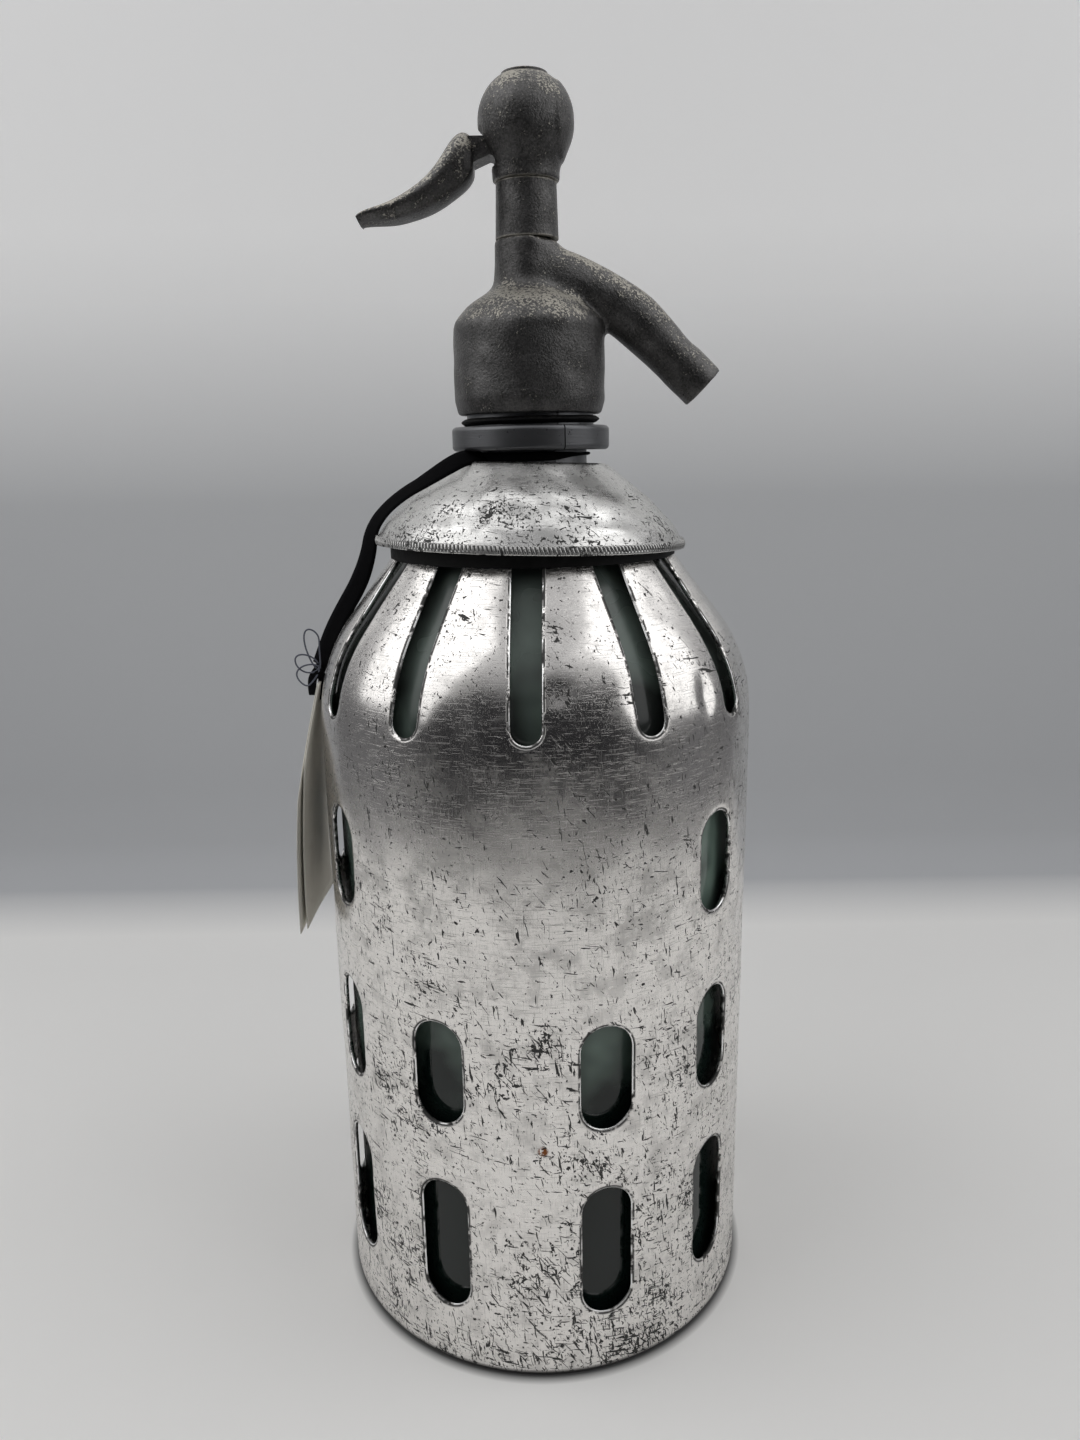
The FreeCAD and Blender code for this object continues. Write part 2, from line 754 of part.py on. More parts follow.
def make_valve_washer():
    return tube(screw_radius, washer_radius, seat_face_z, disc_foot_z)


def make_washer_screw():
    shank = disc(screw_radius, seat_face_z, disc_foot_z + screw_depth)
    return shank.fuse(disc(screw_head_radius, seat_face_z - screw_head_height, seat_face_z))


def make_stem_nut():
    return tube(stem_radius, nut_radius, nut_foot_z, nut_top_z)


def make_valve_barrel():
    top_z = barrel_foot_z + barrel_height
    spigot_foot = barrel_foot_z - barrel_spigot_length
    spigot_top = top_z + barrel_top_spigot_length
    guide = stem_radius + stem_clearance
    floor_z = barrel_foot_z + packing_floor
    return spin([
        (guide, spigot_foot), (chamber_radius, spigot_foot), (chamber_radius, barrel_foot_z),
        (barrel_foot_radius, barrel_foot_z, barrel_seam_chamfer),
        (barrel_top_radius, top_z, barrel_seam_chamfer), (barrel_top_spigot_radius, top_z),
        (barrel_top_spigot_radius, spigot_top), (packing_radius, spigot_top), (packing_radius, floor_z),
        (guide, floor_z),
    ])


def make_stem_packing():
    floor_z = barrel_foot_z + packing_floor
    return tube(stem_radius + stem_clearance, packing_radius, floor_z, floor_z + packing_height)


def make_gland_nut():
    foot_z = barrel_foot_z + packing_floor + packing_height
    top_z = foot_z + gland_height
    nut = tube(stem_radius + stem_clearance, packing_radius, foot_z, top_z)
    slot_foot_z = top_z - gland_slot_depth
    slot = block(-packing_radius, packing_radius, gland_slot_width / 2, slot_foot_z, top_z + run_out)
    return nut.cut(slot)


def make_valve_spring():
    """Coil between the stem nut and the cap, with its wire just inside both faces."""
    height = cap_spigot_foot_z - nut_top_z - 2 * spring_wire
    count = 2 * spring_arcs * spring_turns
    points = []
    for index in range(count + 1):
        turn = 2 * math.pi * spring_turns * index / count
        level = nut_top_z + spring_wire + height * index / count
        points.append(V(spring_radius * math.cos(turn), spring_radius * math.sin(turn), level))
    arcs = [Part.Arc(*points[index:index + 3]).toShape() for index in range(0, count, 2)]
    pitch_angle = math.atan2(height / spring_turns, 2 * math.pi * spring_radius)
    along = V(0, math.cos(pitch_angle), math.sin(pitch_angle))
    section = Part.Wire(Part.makeCircle(spring_wire, points[0], along))
    return Part.Wire(arcs).makePipeShell([section], True, True)


# ------------------------------------------------------------------------ lever housing

def housing_blank(grow):
    """The housing's outer form, whole, swelled by a small amount."""
    foot_radius = housing_foot_radius + grow
    radius = ball_radius + grow
    flare_foot_z = housing_foot_z + housing_flare_foot
    flare_top_z = housing_foot_z + housing_flare_top
    top_z = housing_foot_z + ball_height + grow
    return spin([
        (0, housing_foot_z), (foot_radius, housing_foot_z, edge_round),
        (foot_radius, flare_foot_z, housing_flare_foot_bend), (radius, flare_top_z, housing_flare_top_bend),
        (radius, top_z, radius), (0, top_z),
    ])


def lever_pin_blank():
    """The pin's blind hole, driven from the back and open there."""
    return cross_bar(pin_radius, pivot_x, pivot_z, pin_front_end, ball_radius)


def plug_seat():
    """Recess for the cover plug, from its seat out past the ball."""
    return long_bar(plug_radius, housing_foot_z + plug_height, plug_seat_x, ball_radius + 2 * plug_proud)


def make_lever_housing():
    body = housing_blank(0.0)
    top_clear = disc(ball_radius, cap_seat_z, cap_seat_z + ball_radius)
    spigot_top = housing_foot_z + barrel_top_spigot_length
    foot_low_z = housing_foot_z - run_out
    cap_high_z = cap_seat_z + run_out
    inside = spin([
        (0, foot_low_z), (barrel_top_spigot_radius, foot_low_z), (barrel_top_spigot_radius, spigot_top),
        (cavity_radius, spigot_top), (cavity_radius, cavity_roof_z), (cap_spigot_radius, cavity_roof_z),
        (cap_spigot_radius, cap_high_z), (0, cap_high_z),
    ])
    slot_half_width = lever_half_width + lever_side_clearance
    slot_low = housing_foot_z + slot_foot
    slot_high = housing_foot_z + slot_head
    slot = block(-2 * ball_radius, -cavity_radius / 2, slot_half_width, slot_low, slot_high)
    plug_hole = long_bar(plug_spigot_radius, housing_foot_z + plug_height, 0, plug_seat_x)
    return body.cut([top_clear, inside, slot, lever_pin_blank(), plug_seat(), plug_hole])


def make_side_plug():
    cover = housing_blank(plug_proud).common(plug_seat())
    spigot_foot_x = plug_seat_x - plug_spigot_length
    spigot = long_bar(plug_spigot_radius, housing_foot_z + plug_height, spigot_foot_x, plug_seat_x)
    return cover.fuse(spigot)


def make_top_cap():
    edge_z = cap_seat_z + cap_edge
    cap = spin([
        (0, cap_spigot_foot_z), (cap_spigot_radius, cap_spigot_foot_z), (cap_spigot_radius, cap_seat_z),
        (cap_radius, cap_seat_z), (cap_radius, edge_z, edge_round), (0, edge_z + cap_crown),
    ])
    slot_foot_z = edge_z + cap_crown - cap_slot_depth
    return cap.cut(block(-cap_radius, cap_radius, cap_slot_width / 2, slot_foot_z, edge_z + run_out))


def make_lever_pin():
    """Pin filed flush with the housing."""
    return lever_pin_blank().common(housing_blank(0.0))


# ------------------------------------------------------------------------ lever

def lever_section(low, high, half_width, ridge_share):
    """Closed smooth section across the lever: round back, ridge, drawn-in flanks, round belly."""
    bottom = V(low[0], 0, housing_foot_z + low[1])
    top = V(high[0], 0, housing_foot_z + high[1])
    rise = top - bottom
    ridge = 1 - ridge_share
    half = [(side, 1 - drop * ridge_share) for side, drop in lever_back]
    half += [(side, height * ridge) for side, height in lever_flank]
    right = [bottom + rise * height + V(0, half_width * side, 0) for side, height in half]
    left = [bottom + rise * height - V(0, half_width * side, 0) for side, height in reversed(half[1:])]
    curve = Part.BSplineCurve()
    curve.interpolate(Points=right + left, PeriodicFlag=True)
    return Part.Wire(curve.toShape())


def make_lever():
    horn = Part.makeLoft([lever_section(*station) for station in lever_stations], True, False)
    neck_corners = [(x, housing_foot_z + height) for x, height in lever_neck]
    neck = plate(neck_corners, -lever_half_width, lever_half_width)
    boss = cross_bar(lever_boss_radius, pivot_x, pivot_z, -lever_half_width, lever_half_width)
    nose = cross_bar(fork_nose_radius, fork_nose_x, fork_nose_z, -lever_half_width, lever_half_width)
    arm = plate([
        (pivot_x, pivot_z - lever_boss_radius), (fork_nose_x, fork_nose_z - fork_nose_radius),
        (fork_nose_x, fork_nose_z + fork_nose_radius / 2),
        (pivot_x + lever_boss_radius, pivot_z - fork_top_drop), (pivot_x, pivot_z),
    ], -lever_half_width, lever_half_width)
    fork_root_x = -stem_radius - fork_root_gap
    gap = block(fork_root_x, fork_arm, fork_slot_half_width, pivot_z - fork_arm, pivot_z + fork_arm)
    fork = arm.fuse(nose).cut(gap)
    whole = horn.fuse([neck, boss, fork])
    hole_end = lever_half_width + run_out
    pin_hole = cross_bar(pin_radius + pin_clearance, pivot_x, pivot_z, -hole_end, hole_end)
    return whole.cut(pin_hole).removeSplitter()


# ------------------------------------------------------------------------ ribbon and tag

def ribbon_path(points, share):
    """Straight runs joined by tangent arcs, each as large as its two runs allow."""
    edges = []
    start = points[0]
    for before, corner, after in zip(points, points[1:], points[2:]):
        to_before = before - corner
        to_after = after - corner
        reach = share * min(to_before.Length, to_after.Length)
        to_before.normalize()
        to_after.normalize()
        half_turn = (math.pi - to_before.getAngle(to_after)) / 2
        radius = reach / math.tan(half_turn)
        middle = corner + (to_before + to_after).normalize() * (radius / math.cos(half_turn) - radius)
        arc_start = corner + to_before * reach
        arc_end = corner + to_after * reach
        edges.append(Part.LineSegment(start, arc_start).toShape())
        edges.append(Part.Arc(arc_start, middle, arc_end).toShape())
        start = arc_end
    edges.append(Part.LineSegment(start, points[-1]).toShape())
    return Part.Wire(edges)


def make_tag_ribbon():
    points = [V(*point) for point in ribbon_route]
    path = ribbon_path(points, ribbon_arc_share)
    section = Part.Wire(Part.makeCircle(ribbon_radius, points[0], points[1] - points[0]))
    ribbon = path.makePipeShell([section], True, False)
    print("ribbon length %.1f, volume over section times length %.4f"
          % (path.Length, ribbon.Volume / (math.pi * ribbon_radius ** 2 * path.Length)))
    return ribbon


def make_ribbon_loop():
    inner = collar_skirt_radius + loop_clearance
    middle_z = (dome_top_z + dome_lip + flange_foot_z) / 2
    return tube(inner, inner + loop_thickness, middle_z - loop_height / 2, middle_z + loop_height / 2)


def in_tag_frame(shape):
    """Lean a shape built round the card's head with the card, and carry it to its place."""
    shape.rotate(V(0, 0, 0), V(0, 1, 0), tag_lean)
    shape.translate(V(*tag_head))
    return shape


def make_tag_knot():
    """Knot at the ribbon's end, with a flat tail down the inner face of the card."""
    before, end = [V(*point) for point in ribbon_route[-2:]]
    centre = end + (end - before).normalize() * knot_seat
    tail_height = tail_length + centre.z - tag_head[2]
    tail = Part.makeBox(tail_thickness, 2 * ribbon_radius, tail_height, V(0, -ribbon_radius, -tail_length))
    return Part.makeSphere(knot_radius, centre).fuse(in_tag_frame(tail))


def make_paper_tag():
    """Card with a pointed head, hung from the knot and leaning a little outwards."""
    half = tag_width / 2
    head = tag_head_width / 2
    outline = [
        V(0, -head, 0), V(0, -half, -tag_shoulder), V(0, -half, -tag_length), V(0, half, -tag_length),
        V(0, half, -tag_shoulder), V(0, head, 0), V(0, -head, 0),
    ]
    card = Part.Face(Part.makePolygon(outline)).extrude(V(-tag_thickness, 0, 0))
    hole_start = V(-2 * tag_thickness, 0, -tag_hole_drop)
    hole = Part.makeCylinder(tag_hole_radius, 4 * tag_thickness, hole_start, V(1, 0, 0))
    return in_tag_frame(card.cut(hole))


# ------------------------------------------------------------------------ export

def build():
    left_half, right_half = make_collar_halves()
    return {
        "jacket": make_jacket(),
        "base_plate": make_base_plate(),
        "base_pad": make_base_pad(),
        "glass_bottle": make_glass_bottle(),
        "shoulder_dome": make_shoulder_dome(),
        "dome_ring": make_dome_ring(),
        "neck_bushing": make_neck_bushing(),
        "neck_liner": make_neck_liner(),
        "collar_half_left": left_half,
        "collar_half_right": right_half,
        "mouth_gasket": make_mouth_gasket(),
        "head_body": make_head_body(),
        "dip_tube": make_dip_tube(),
        "tube_sleeve": make_tube_sleeve(),
        "valve_seat": make_valve_seat(),
        "valve_stem": make_valve_stem(),
        "valve_washer": make_valve_washer(),
        "washer_screw": make_washer_screw(),
        "stem_nut": make_stem_nut(),
        "valve_barrel": make_valve_barrel(),
        "stem_packing": make_stem_packing(),
        "gland_nut": make_gland_nut(),
        "valve_spring": make_valve_spring(),
        "lever_housing": make_lever_housing(),
        "side_plug": make_side_plug(),
        "top_cap": make_top_cap(),
        "lever_pin": make_lever_pin(),
        "lever": make_lever(),
        "ribbon_loop": make_ribbon_loop(),
        "tag_ribbon": make_tag_ribbon(),
        "tag_knot": make_tag_knot(),
        "paper_tag": make_paper_tag(),
    }


os.makedirs("parts", exist_ok=True)
for name, shape in build().items():
    shape.exportStep("parts/%s.step" % name)
    box = shape.BoundBox
    print("%-18s %d solid(s) %s volume %.1f z %.1f to %.1f"
          % (name, len(shape.Solids), "ok" if shape.isValid() else "BAD", shape.Volume, box.ZMin, box.ZMax))
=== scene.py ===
# %% [markdown]
# # A soda siphon, dressed piece by piece
# A soda siphon is a thick glass bottle in a punched aluminium jacket. A cast head with a valve, a
# spout and a thumb lever is clamped to its neck by a split collar. The packed model gives every
# solid its true size and place. This lesson keeps the solids whose shape is right and gives them
# worn metal, glass, rubber and brass. It makes new surfaces where the real thing is softer,
# thinner or more battered than a plain solid: the jacket, the dome, the cast head, the ribbon,
# the card tag and the valve spring. Lengths are in millimetres until a mesh is made, which is in
# metres.

# %% Load the packed model
import json
import math
from collections import namedtuple

import bmesh
import bpy
import numpy as np
from mathutils import Matrix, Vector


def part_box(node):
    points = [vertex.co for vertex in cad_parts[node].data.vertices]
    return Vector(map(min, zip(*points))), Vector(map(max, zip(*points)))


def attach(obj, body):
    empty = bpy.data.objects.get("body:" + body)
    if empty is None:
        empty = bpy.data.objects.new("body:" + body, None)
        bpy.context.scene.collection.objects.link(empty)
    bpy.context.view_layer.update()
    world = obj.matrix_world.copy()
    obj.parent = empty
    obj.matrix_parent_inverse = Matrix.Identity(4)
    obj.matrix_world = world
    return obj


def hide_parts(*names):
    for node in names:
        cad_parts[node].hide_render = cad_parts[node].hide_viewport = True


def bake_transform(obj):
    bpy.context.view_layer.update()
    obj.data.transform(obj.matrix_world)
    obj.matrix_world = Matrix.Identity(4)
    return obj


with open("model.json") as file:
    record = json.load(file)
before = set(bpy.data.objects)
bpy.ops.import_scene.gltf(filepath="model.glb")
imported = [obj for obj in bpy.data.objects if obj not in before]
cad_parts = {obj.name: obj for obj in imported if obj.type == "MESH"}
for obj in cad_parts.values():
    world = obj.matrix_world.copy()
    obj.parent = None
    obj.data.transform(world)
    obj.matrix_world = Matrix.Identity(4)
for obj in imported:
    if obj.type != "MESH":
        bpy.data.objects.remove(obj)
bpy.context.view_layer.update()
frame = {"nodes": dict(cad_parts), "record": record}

# %% [markdown]
# The camera comes first, because the view must be right before anything is dressed. It stands
# about 28 cm in front of the siphon, a little above the dome, and looks down by 14 degrees. A
# real hand is never quite level, so it rolls by one degree. A camera looks along its own -Z axis,
# so the columns of its matrix are right, up and backwards.

# %% Camera
MM = 0.001
camera_place = (1.14, -276.96, 231.08)
camera_pitch, camera_roll = math.radians(14.36), math.radians(-0.98)
lens_length, sensor_width, nearest_seen = 26.25, 36.0, 0.01


def add_object(name, data):
    """An object that holds some data, linked to the scene."""
    made = bpy.data.objects.new(name, data)
    bpy.context.scene.collection.objects.link(made)
    return made


def placed(place, right, up, back):
    """Matrix of an object, from its place in millimetres and its own three directions."""
    matrix = np.eye(4)
    matrix[:3, 0], matrix[:3, 1], matrix[:3, 2] = right, up, back
    matrix[:3, 3] = np.array(place) * MM
    return Matrix(matrix.tolist())


def camera_axes(pitch, roll):
    """Right, up and backward directions: level axes turned by the pitch, then by the roll."""
    level_right = np.array([1.0, 0.0, 0.0])
    level_up = np.array([0.0, math.sin(pitch), math.cos(pitch)])
    forward = np.array([0.0, math.cos(pitch), -math.sin(pitch)])
    right = level_right * math.cos(roll) + level_up * math.sin(roll)
    up = -level_right * math.sin(roll) + level_up * math.cos(roll)
    return right, up, -forward


camera_data = bpy.data.cameras.new("camera")
camera_data.lens, camera_data.sensor_width = lens_length, sensor_width
camera_data.clip_start = nearest_seen
camera = add_object("camera", camera_data)
camera.matrix_world = placed(camera_place, *camera_axes(camera_pitch, camera_roll))
bpy.context.scene.camera = camera
print("camera at", camera_place)

# %% [markdown]
# Most pieces here are grids: rows of points along a profile, columns round an axis or along a
# path. One helper lists the quads between neighbouring points, and one turns points and faces
# into a piece that rides on its body. Both work for any surface, so no piece needs mesh tools of
# its own.

# %% Grid and piece helpers
def unit(vectors):
    """Vectors divided by their lengths."""
    return vectors / np.linalg.norm(vectors, axis=-1, keepdims=True)


def turned(radius, azimuth, height):
    """Points (r sin a, -r cos a, z): the azimuth a runs from the front towards the right."""
    parts = (radius * np.sin(azimuth), -radius * np.cos(azimuth), height)
    return np.stack(np.broadcast_arrays(*parts), axis=-1)


def short_way(angle):
    """The same angle in degrees, brought between -180 and 180."""
    return (angle + 180.0) % 360.0 - 180.0


def grid_faces(rows, columns, loop_rows=False, loop_columns=False):
    """Quads (i, j), (i, j+1), (i+1, j+1), (i+1, j) of a grid of points; a loop closes on itself."""
    i = np.arange(rows if loop_rows else rows - 1)[:, None]
    j = np.arange(columns if loop_columns else columns - 1)[None, :]
    above, beside = (i + 1) % rows, (j + 1) % columns
    corners = [i * columns + j, i * columns + beside, above * columns + beside, above * columns + j]
    return np.stack(corners, axis=-1).reshape(-1, 4)


def facing_out(points, faces):
    """Quads of a closed surface, turned over if the volume inside them comes out negative.

    The volume has the sign of the sum of a . (b x c) + a . (c x d) over the quads a, b, c, d.
    """
    corner = np.asarray(points).reshape(-1, 3)[faces]
    first = np.einsum("ij,ij->i", corner[:, 0], np.cross(corner[:, 1], corner[:, 2]))
    second = np.einsum("ij,ij->i", corner[:, 0], np.cross(corner[:, 2], corner[:, 3]))
    return faces if (first + second).sum() > 0 else faces[:, ::-1]


def add_piece(name, points, faces, finish, body="siphon", kept=None):
    """A smooth-shaded piece from points in millimetres; kept names values to keep at each point.

    With None as its body, as for the valve spring and the stage, a piece is attached to no body.
    """
    mesh = bpy.data.meshes.new(name)
    corners = (np.asarray(points).reshape(-1, 3) * MM).tolist()
    mesh.from_pydata(corners, [], np.asarray(faces).tolist())
    mesh.shade_smooth()
    for title, values in (kept or {}).items():
        values = np.asarray(values, np.float32).ravel()
        mesh.attributes.new(title, "FLOAT", "POINT").data.foreach_set("value", values)
    mesh.materials.append(finish)
    piece = add_object(name, mesh)
    if body:
        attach(piece, body)
    print(name, len(mesh.vertices), "points", len(mesh.polygons), "faces")
    return piece


print("one square:", grid_faces(2, 2).tolist())

# %% [markdown]
# A sheet metal worker draws a profile as straight runs and bends them with a radius. The next
# helper does the same. It spaces the points evenly, so that the quads stay regular.

# %% Profile helper
def soft_profile(corners, step):
    """Chain of straight runs with rounded corners, as points a step or less apart.

    A corner that turns by t with radius r starts and ends r tan(t/2) from it, and between them
    the arc is centre + (sin((1-s) t) start + sin(s t) end) / sin(t), with s from 0 to 1.
    """
    nothing = 1e-6
    chain = [np.array([corners[0][:2]], float)]
    for before, corner, after in zip(corners, corners[1:], corners[2:]):
        point = np.array(corner[:2], float)
        radius = corner[2] if len(corner) > 2 else 0.0
        to_before = unit(np.array(before[:2], float) - point)
        to_after = unit(np.array(after[:2], float) - point)
        turn = math.pi - math.acos(np.clip(to_before @ to_after, -1.0, 1.0))
        if radius * turn < nothing:
            chain.append(point[None])
            continue
        reach = radius * math.tan(turn / 2)
        centre = point + unit(to_before + to_after) * radius / math.cos(turn / 2)
        start, end = point + to_before * reach - centre, point + to_after * reach - centre
        share = np.linspace(0, 1, max(3, math.ceil(radius * turn / step) + 1))[:, None]
        arc = (np.sin((1 - share) * turn) * start + np.sin(share * turn) * end) / math.sin(turn)
        chain.append(centre + arc)
    chain = np.concatenate(chain + [np.array([corners[-1][:2]], float)])
    runs = np.linalg.norm(np.diff(chain, axis=0), axis=1)
    filled = [np.linspace(a, b, max(1, math.ceil(run / step - nothing)), endpoint=False)
              for a, b, run in zip(chain, chain[1:], runs) if run > nothing]
    return np.concatenate(filled + [chain[-1:]])


print("a bend:", soft_profile([(0, 0), (10, 0, 2.0), (10, 10)], 2.0).round(2).tolist())

# %% [markdown]
# ## Finishes
# A finish is a node tree. Writing it as arithmetic keeps it readable, so a small class wraps one
# socket and turns + - and * into Math nodes. A second class holds a tree. It makes every other
# node through one method: the type, the settings, then the sockets. A third one adds what only a
# material has: the shader, and coordinates in millimetres on the piece itself.

# %% Socket arithmetic
class Wire:
    """One output socket; arithmetic with it adds Math nodes to its tree."""

    def __init__(self, sheet, socket):
        self.sheet, self.socket = sheet, socket

    def math(self, operation, first, second):
        """A Math node of two values or sockets."""
        return self.sheet.node("ShaderNodeMath", {"operation": operation}, {0: first, 1: second})

    def larger(self, other):
        """The larger of this and another value."""
        return self.math("MAXIMUM", self, other)

    def size(self):
        """The value without its sign."""
        return self.math("ABSOLUTE", self, 0.0)

    def __add__(self, other):
        return self.math("ADD", self, other)

    def __sub__(self, other):
        return self.math("SUBTRACT", self, other)

    def __rsub__(self, other):
        return self.math("SUBTRACT", other, self)

    def __mul__(self, other):
        return self.math("MULTIPLY", self, other)

    __radd__ = __add__
    __rmul__ = __mul__


print("a wire adds:", [name for name in vars(Wire) if not name.startswith("_")], "and + - *")

# %% Node tree
class Sheet:
    """A node tree under construction."""

    def __init__(self, tree):
        self.tree = tree

    def node(self, kind, settings=None, sockets=None, out=0):
        """A node of a type: its settings first, then values or links for its sockets."""
        made = self.tree.nodes.new(kind)
        for name, value in (settings or {}).items():
            setattr(made, name, value)
        for name, value in (sockets or {}).items():
            self.plug(made.inputs[name], value)
        return Wire(self, made.outputs[out])

    def plug(self, socket, value):
        """Links a wire to a socket, or sets the socket's own value; a colour may lack its alpha."""
        if isinstance(value, Wire):
            self.tree.links.new(value.socket, socket)
        elif isinstance(value, tuple) and len(socket.default_value) == 4 and len(value) == 3:
            socket.default_value = value + (1.0,)
        else:
            socket.default_value = value

    def step(self, value, low, high):
        """0 below low, 1 above high and a straight rise between; low may be above high."""
        return self.node("ShaderNodeMapRange", {"clamp": True},
                         {"Value": value, "From Min": low, "From Max": high})

    def blend(self, factor, first, second):
        """Mix of two colours: the first one at factor 0, the second one at 1."""
        return self.node("ShaderNodeMix", {"data_type": "RGBA"},
                         {0: factor, 6: first, 7: second}, out=2)

    def axis(self, letter, of=None):
        """One part of a vector; of the place on the piece where no vector is given."""
        return self.node("ShaderNodeSeparateXYZ", None, {0: of or self.place}, letter)


print("a sheet has:", [name for name in vars(Sheet) if not name.startswith("_")])

# %% Material
class Finish(Sheet):
    """A material under construction, with coordinates in millimetres on the piece itself."""

    def __init__(self, name, **fixed):
        self.material = bpy.data.materials.new(name)
        self.material.use_nodes = True
        super().__init__(self.material.node_tree)
        self.shader = self.tree.nodes["Principled BSDF"]
        place = self.node("ShaderNodeTexCoord", out="Object")
        self.place = self.node("ShaderNodeVectorMath", {"operation": "SCALE"},
                               {0: place, "Scale": 1 / MM})
        self.finish(**fixed)

    def finish(self, **sockets):
        """Plugs values or links into the shader: base_color fills Base Color, and so on."""
        for name, value in sockets.items():
            title = name.replace("_", " ").title().replace("Ior", "IOR")
            self.plug(self.shader.inputs[title], value)

    def stretched(self, x, y, z, lean=0.0):
        """Place leant about the Y axis by some degrees, then times a factor for each axis."""
        leant = self.node("ShaderNodeVectorRotate", {"rotation_type": "Y_AXIS"},
                          {"Vector": self.place, "Angle": math.radians(lean)})
        return self.node("ShaderNodeVectorMath", {"operation": "MULTIPLY"},
                         {0: leant, 1: (x, y, z)})

    def noise(self, size, detail=3.0, rough=0.55, place=None, warp=0.0):
        """Cloudy value round 0.5, with lumps of a size in millimetres."""
        sockets = {"Vector": place or self.place, "Scale": 1.0 / size, "Detail": detail,
                   "Roughness": rough, "Distortion": warp}
        return self.node("ShaderNodeTexNoise", None, sockets)

    def cells(self, size):
        """Distance to the nearest of points scattered one to a cell, as a share of its size."""
        return self.node("ShaderNodeTexVoronoi", {"feature": "F1"},
                         {"Vector": self.place, "Scale": 1.0 / size}, "Distance")

    def kept_value(self, title):
        """A value kept at the mesh's points; 0 on a piece that has none."""
        return self.node("ShaderNodeAttribute", {"attribute_name": title}, out="Fac")

    def distance_from(self, point):
        """Millimetres from a point on the piece."""
        return self.node("ShaderNodeVectorMath", {"operation": "DISTANCE"},
                         {0: self.place, 1: point}, "Value")

    def facing(self, letter):
        """One part of the surface's own normal, such as how much it faces up."""
        return self.axis(letter, self.node("ShaderNodeNewGeometry", out="Normal"))

    def bump(self, height, depth):
        """Normal roughened by a height from 0 to 1 that stands for a depth in millimetres."""
        sockets = {"Strength": 1.0, "Distance": depth * MM, "Height": height}
        self.finish(normal=self.node("ShaderNodeBump", None, sockets, "Normal"))


black, near_black = (0.0, 0.0, 0.0), (0.01, 0.01, 0.01)
print("a finish also has:", [name for name in vars(Finish) if not name.startswith("_")])

# %% [markdown]
# ### Worn aluminium
# The jacket is polished aluminium that has been knocked about for decades. Three things show its
# age: black pits and short dashes where dirt sits in the metal, fine scratches up and down and
# across, and a thin bright line on every cut edge with dirt caught behind it. The pits lie in
# drifts, denser low down, so one slow noise decides where a fast one may break through. Dashes
# come from the same kind of noise, stretched one way. Values kept at the mesh's points help:
# "edge" is the distance from the nearest cut edge in millimetres, "scar" marks the places that
# have been hit hardest, and "groove" lies between pressed teeth.

# %% Worn aluminium
rust_spot = (0.1, -57.0, 67.0)
mark_blur = 0.008
dash_kinds = (       # lump size, stretch along x, y and z, lean, warp, rise above the threshold
    (1.9, (2.5, 2.5, 0.42), 8.0, 0.6, -0.006),
    (2.1, (0.40, 0.40, 2.6), -7.0, 0.6, 0.010),
    (2.1, (2.7, 2.7, 0.30), 38.0, 0.4, 0.014),
)


def dirt_marks(made, low_down, scar):
    """1 in pits and dashes: where a noise rises above a threshold.

    The threshold is 0.684, less in drifts, low down and on scars, so the marks crowd there.
    """
    drift = made.step(made.noise(22.0, 4.0, 0.62), 0.50, 0.70)
    floor = 0.684 - (0.038 * low_down + 0.072 * drift) - 0.12 * scar
    marks = made.step(made.noise(1.5, 2.0, 0.74, warp=0.5) - floor, 0.0, mark_blur)
    for size, stretch, lean, warp, rise in dash_kinds:
        dashes = made.noise(size, 2.0, 0.72, made.stretched(*stretch, lean), warp)
        marks = marks.larger(made.step(dashes - floor, rise, rise + mark_blur))
    return marks


def fine_scratches(made):
    """1 on thin lines up and down and across: a noise drawn out 37 times as long as it is wide."""
    up_down = made.noise(0.8, 2.0, 0.5, made.stretched(6.0, 6.0, 0.16))
    level = made.noise(0.8, 2.0, 0.5, made.stretched(0.16, 0.16, 6.0))
    return made.step(up_down, 0.62, 0.68).larger(made.step(level, 0.62, 0.68))


def worn_aluminium(name, tint, polish):
    """Bright metal minus pits, drifts of grime, scratches and a painted contact shadow along the
    foot; pits and scratches are height too.
    """
    made = Finish(name)
    edge, scar, groove = (made.kept_value(title) for title in ("edge", "scar", "groove"))
    height = made.axis("Z")
    low_down = made.step(height, 190.0, 10.0)
    dark = dirt_marks(made, low_down, scar)
    lines = fine_scratches(made)
    grime = made.step(made.noise(8.0, 6.0, 0.7), 0.48, 0.66)
    caught = made.step(edge, 0.95, 0.60) * made.step(made.noise(3.2, 3.0, 0.6), 0.40, 0.47)
    rubbed = made.step(edge, 0.42, 0.30) * made.step(made.noise(7.0, 3.0, 0.6), 0.44, 0.54)
    # Painted shadow: a dark band along the bottom edge stands in for the shadow where the can meets
    # the table.
    painted_contact_shadow = made.step(height, 2.4, 1.4)
    dark = (dark.larger(caught).larger(painted_contact_shadow) * (1.0 - rubbed)).larger(groove)
    rust = made.step(made.distance_from(rust_spot), 1.5, 1.0)
    rust = rust * made.step(made.noise(0.9), 0.38, 0.46)
    metal = made.blend(grime * 0.60, tint, tuple(0.60 * part for part in tint))
    for amount, colour in ((lines * 0.36, (0.18, 0.18, 0.18)), (rubbed, (0.93, 0.93, 0.92)),
                           (rust, (0.20, 0.075, 0.030)), (dark * 0.97, (0.018, 0.018, 0.017))):
        metal = made.blend(amount, metal, colour)
    rough = polish + 0.13 * low_down + 0.12 * grime + 0.08 * lines
    made.finish(base_color=metal, roughness=rough + 0.35 * dark, metallic=1.0 - 0.8 * dark)
    made.bump(0.55 + 0.11 * made.noise(7.0, 2.0) - 0.38 * dark - 0.03 * lines, 0.30)
    return made.material


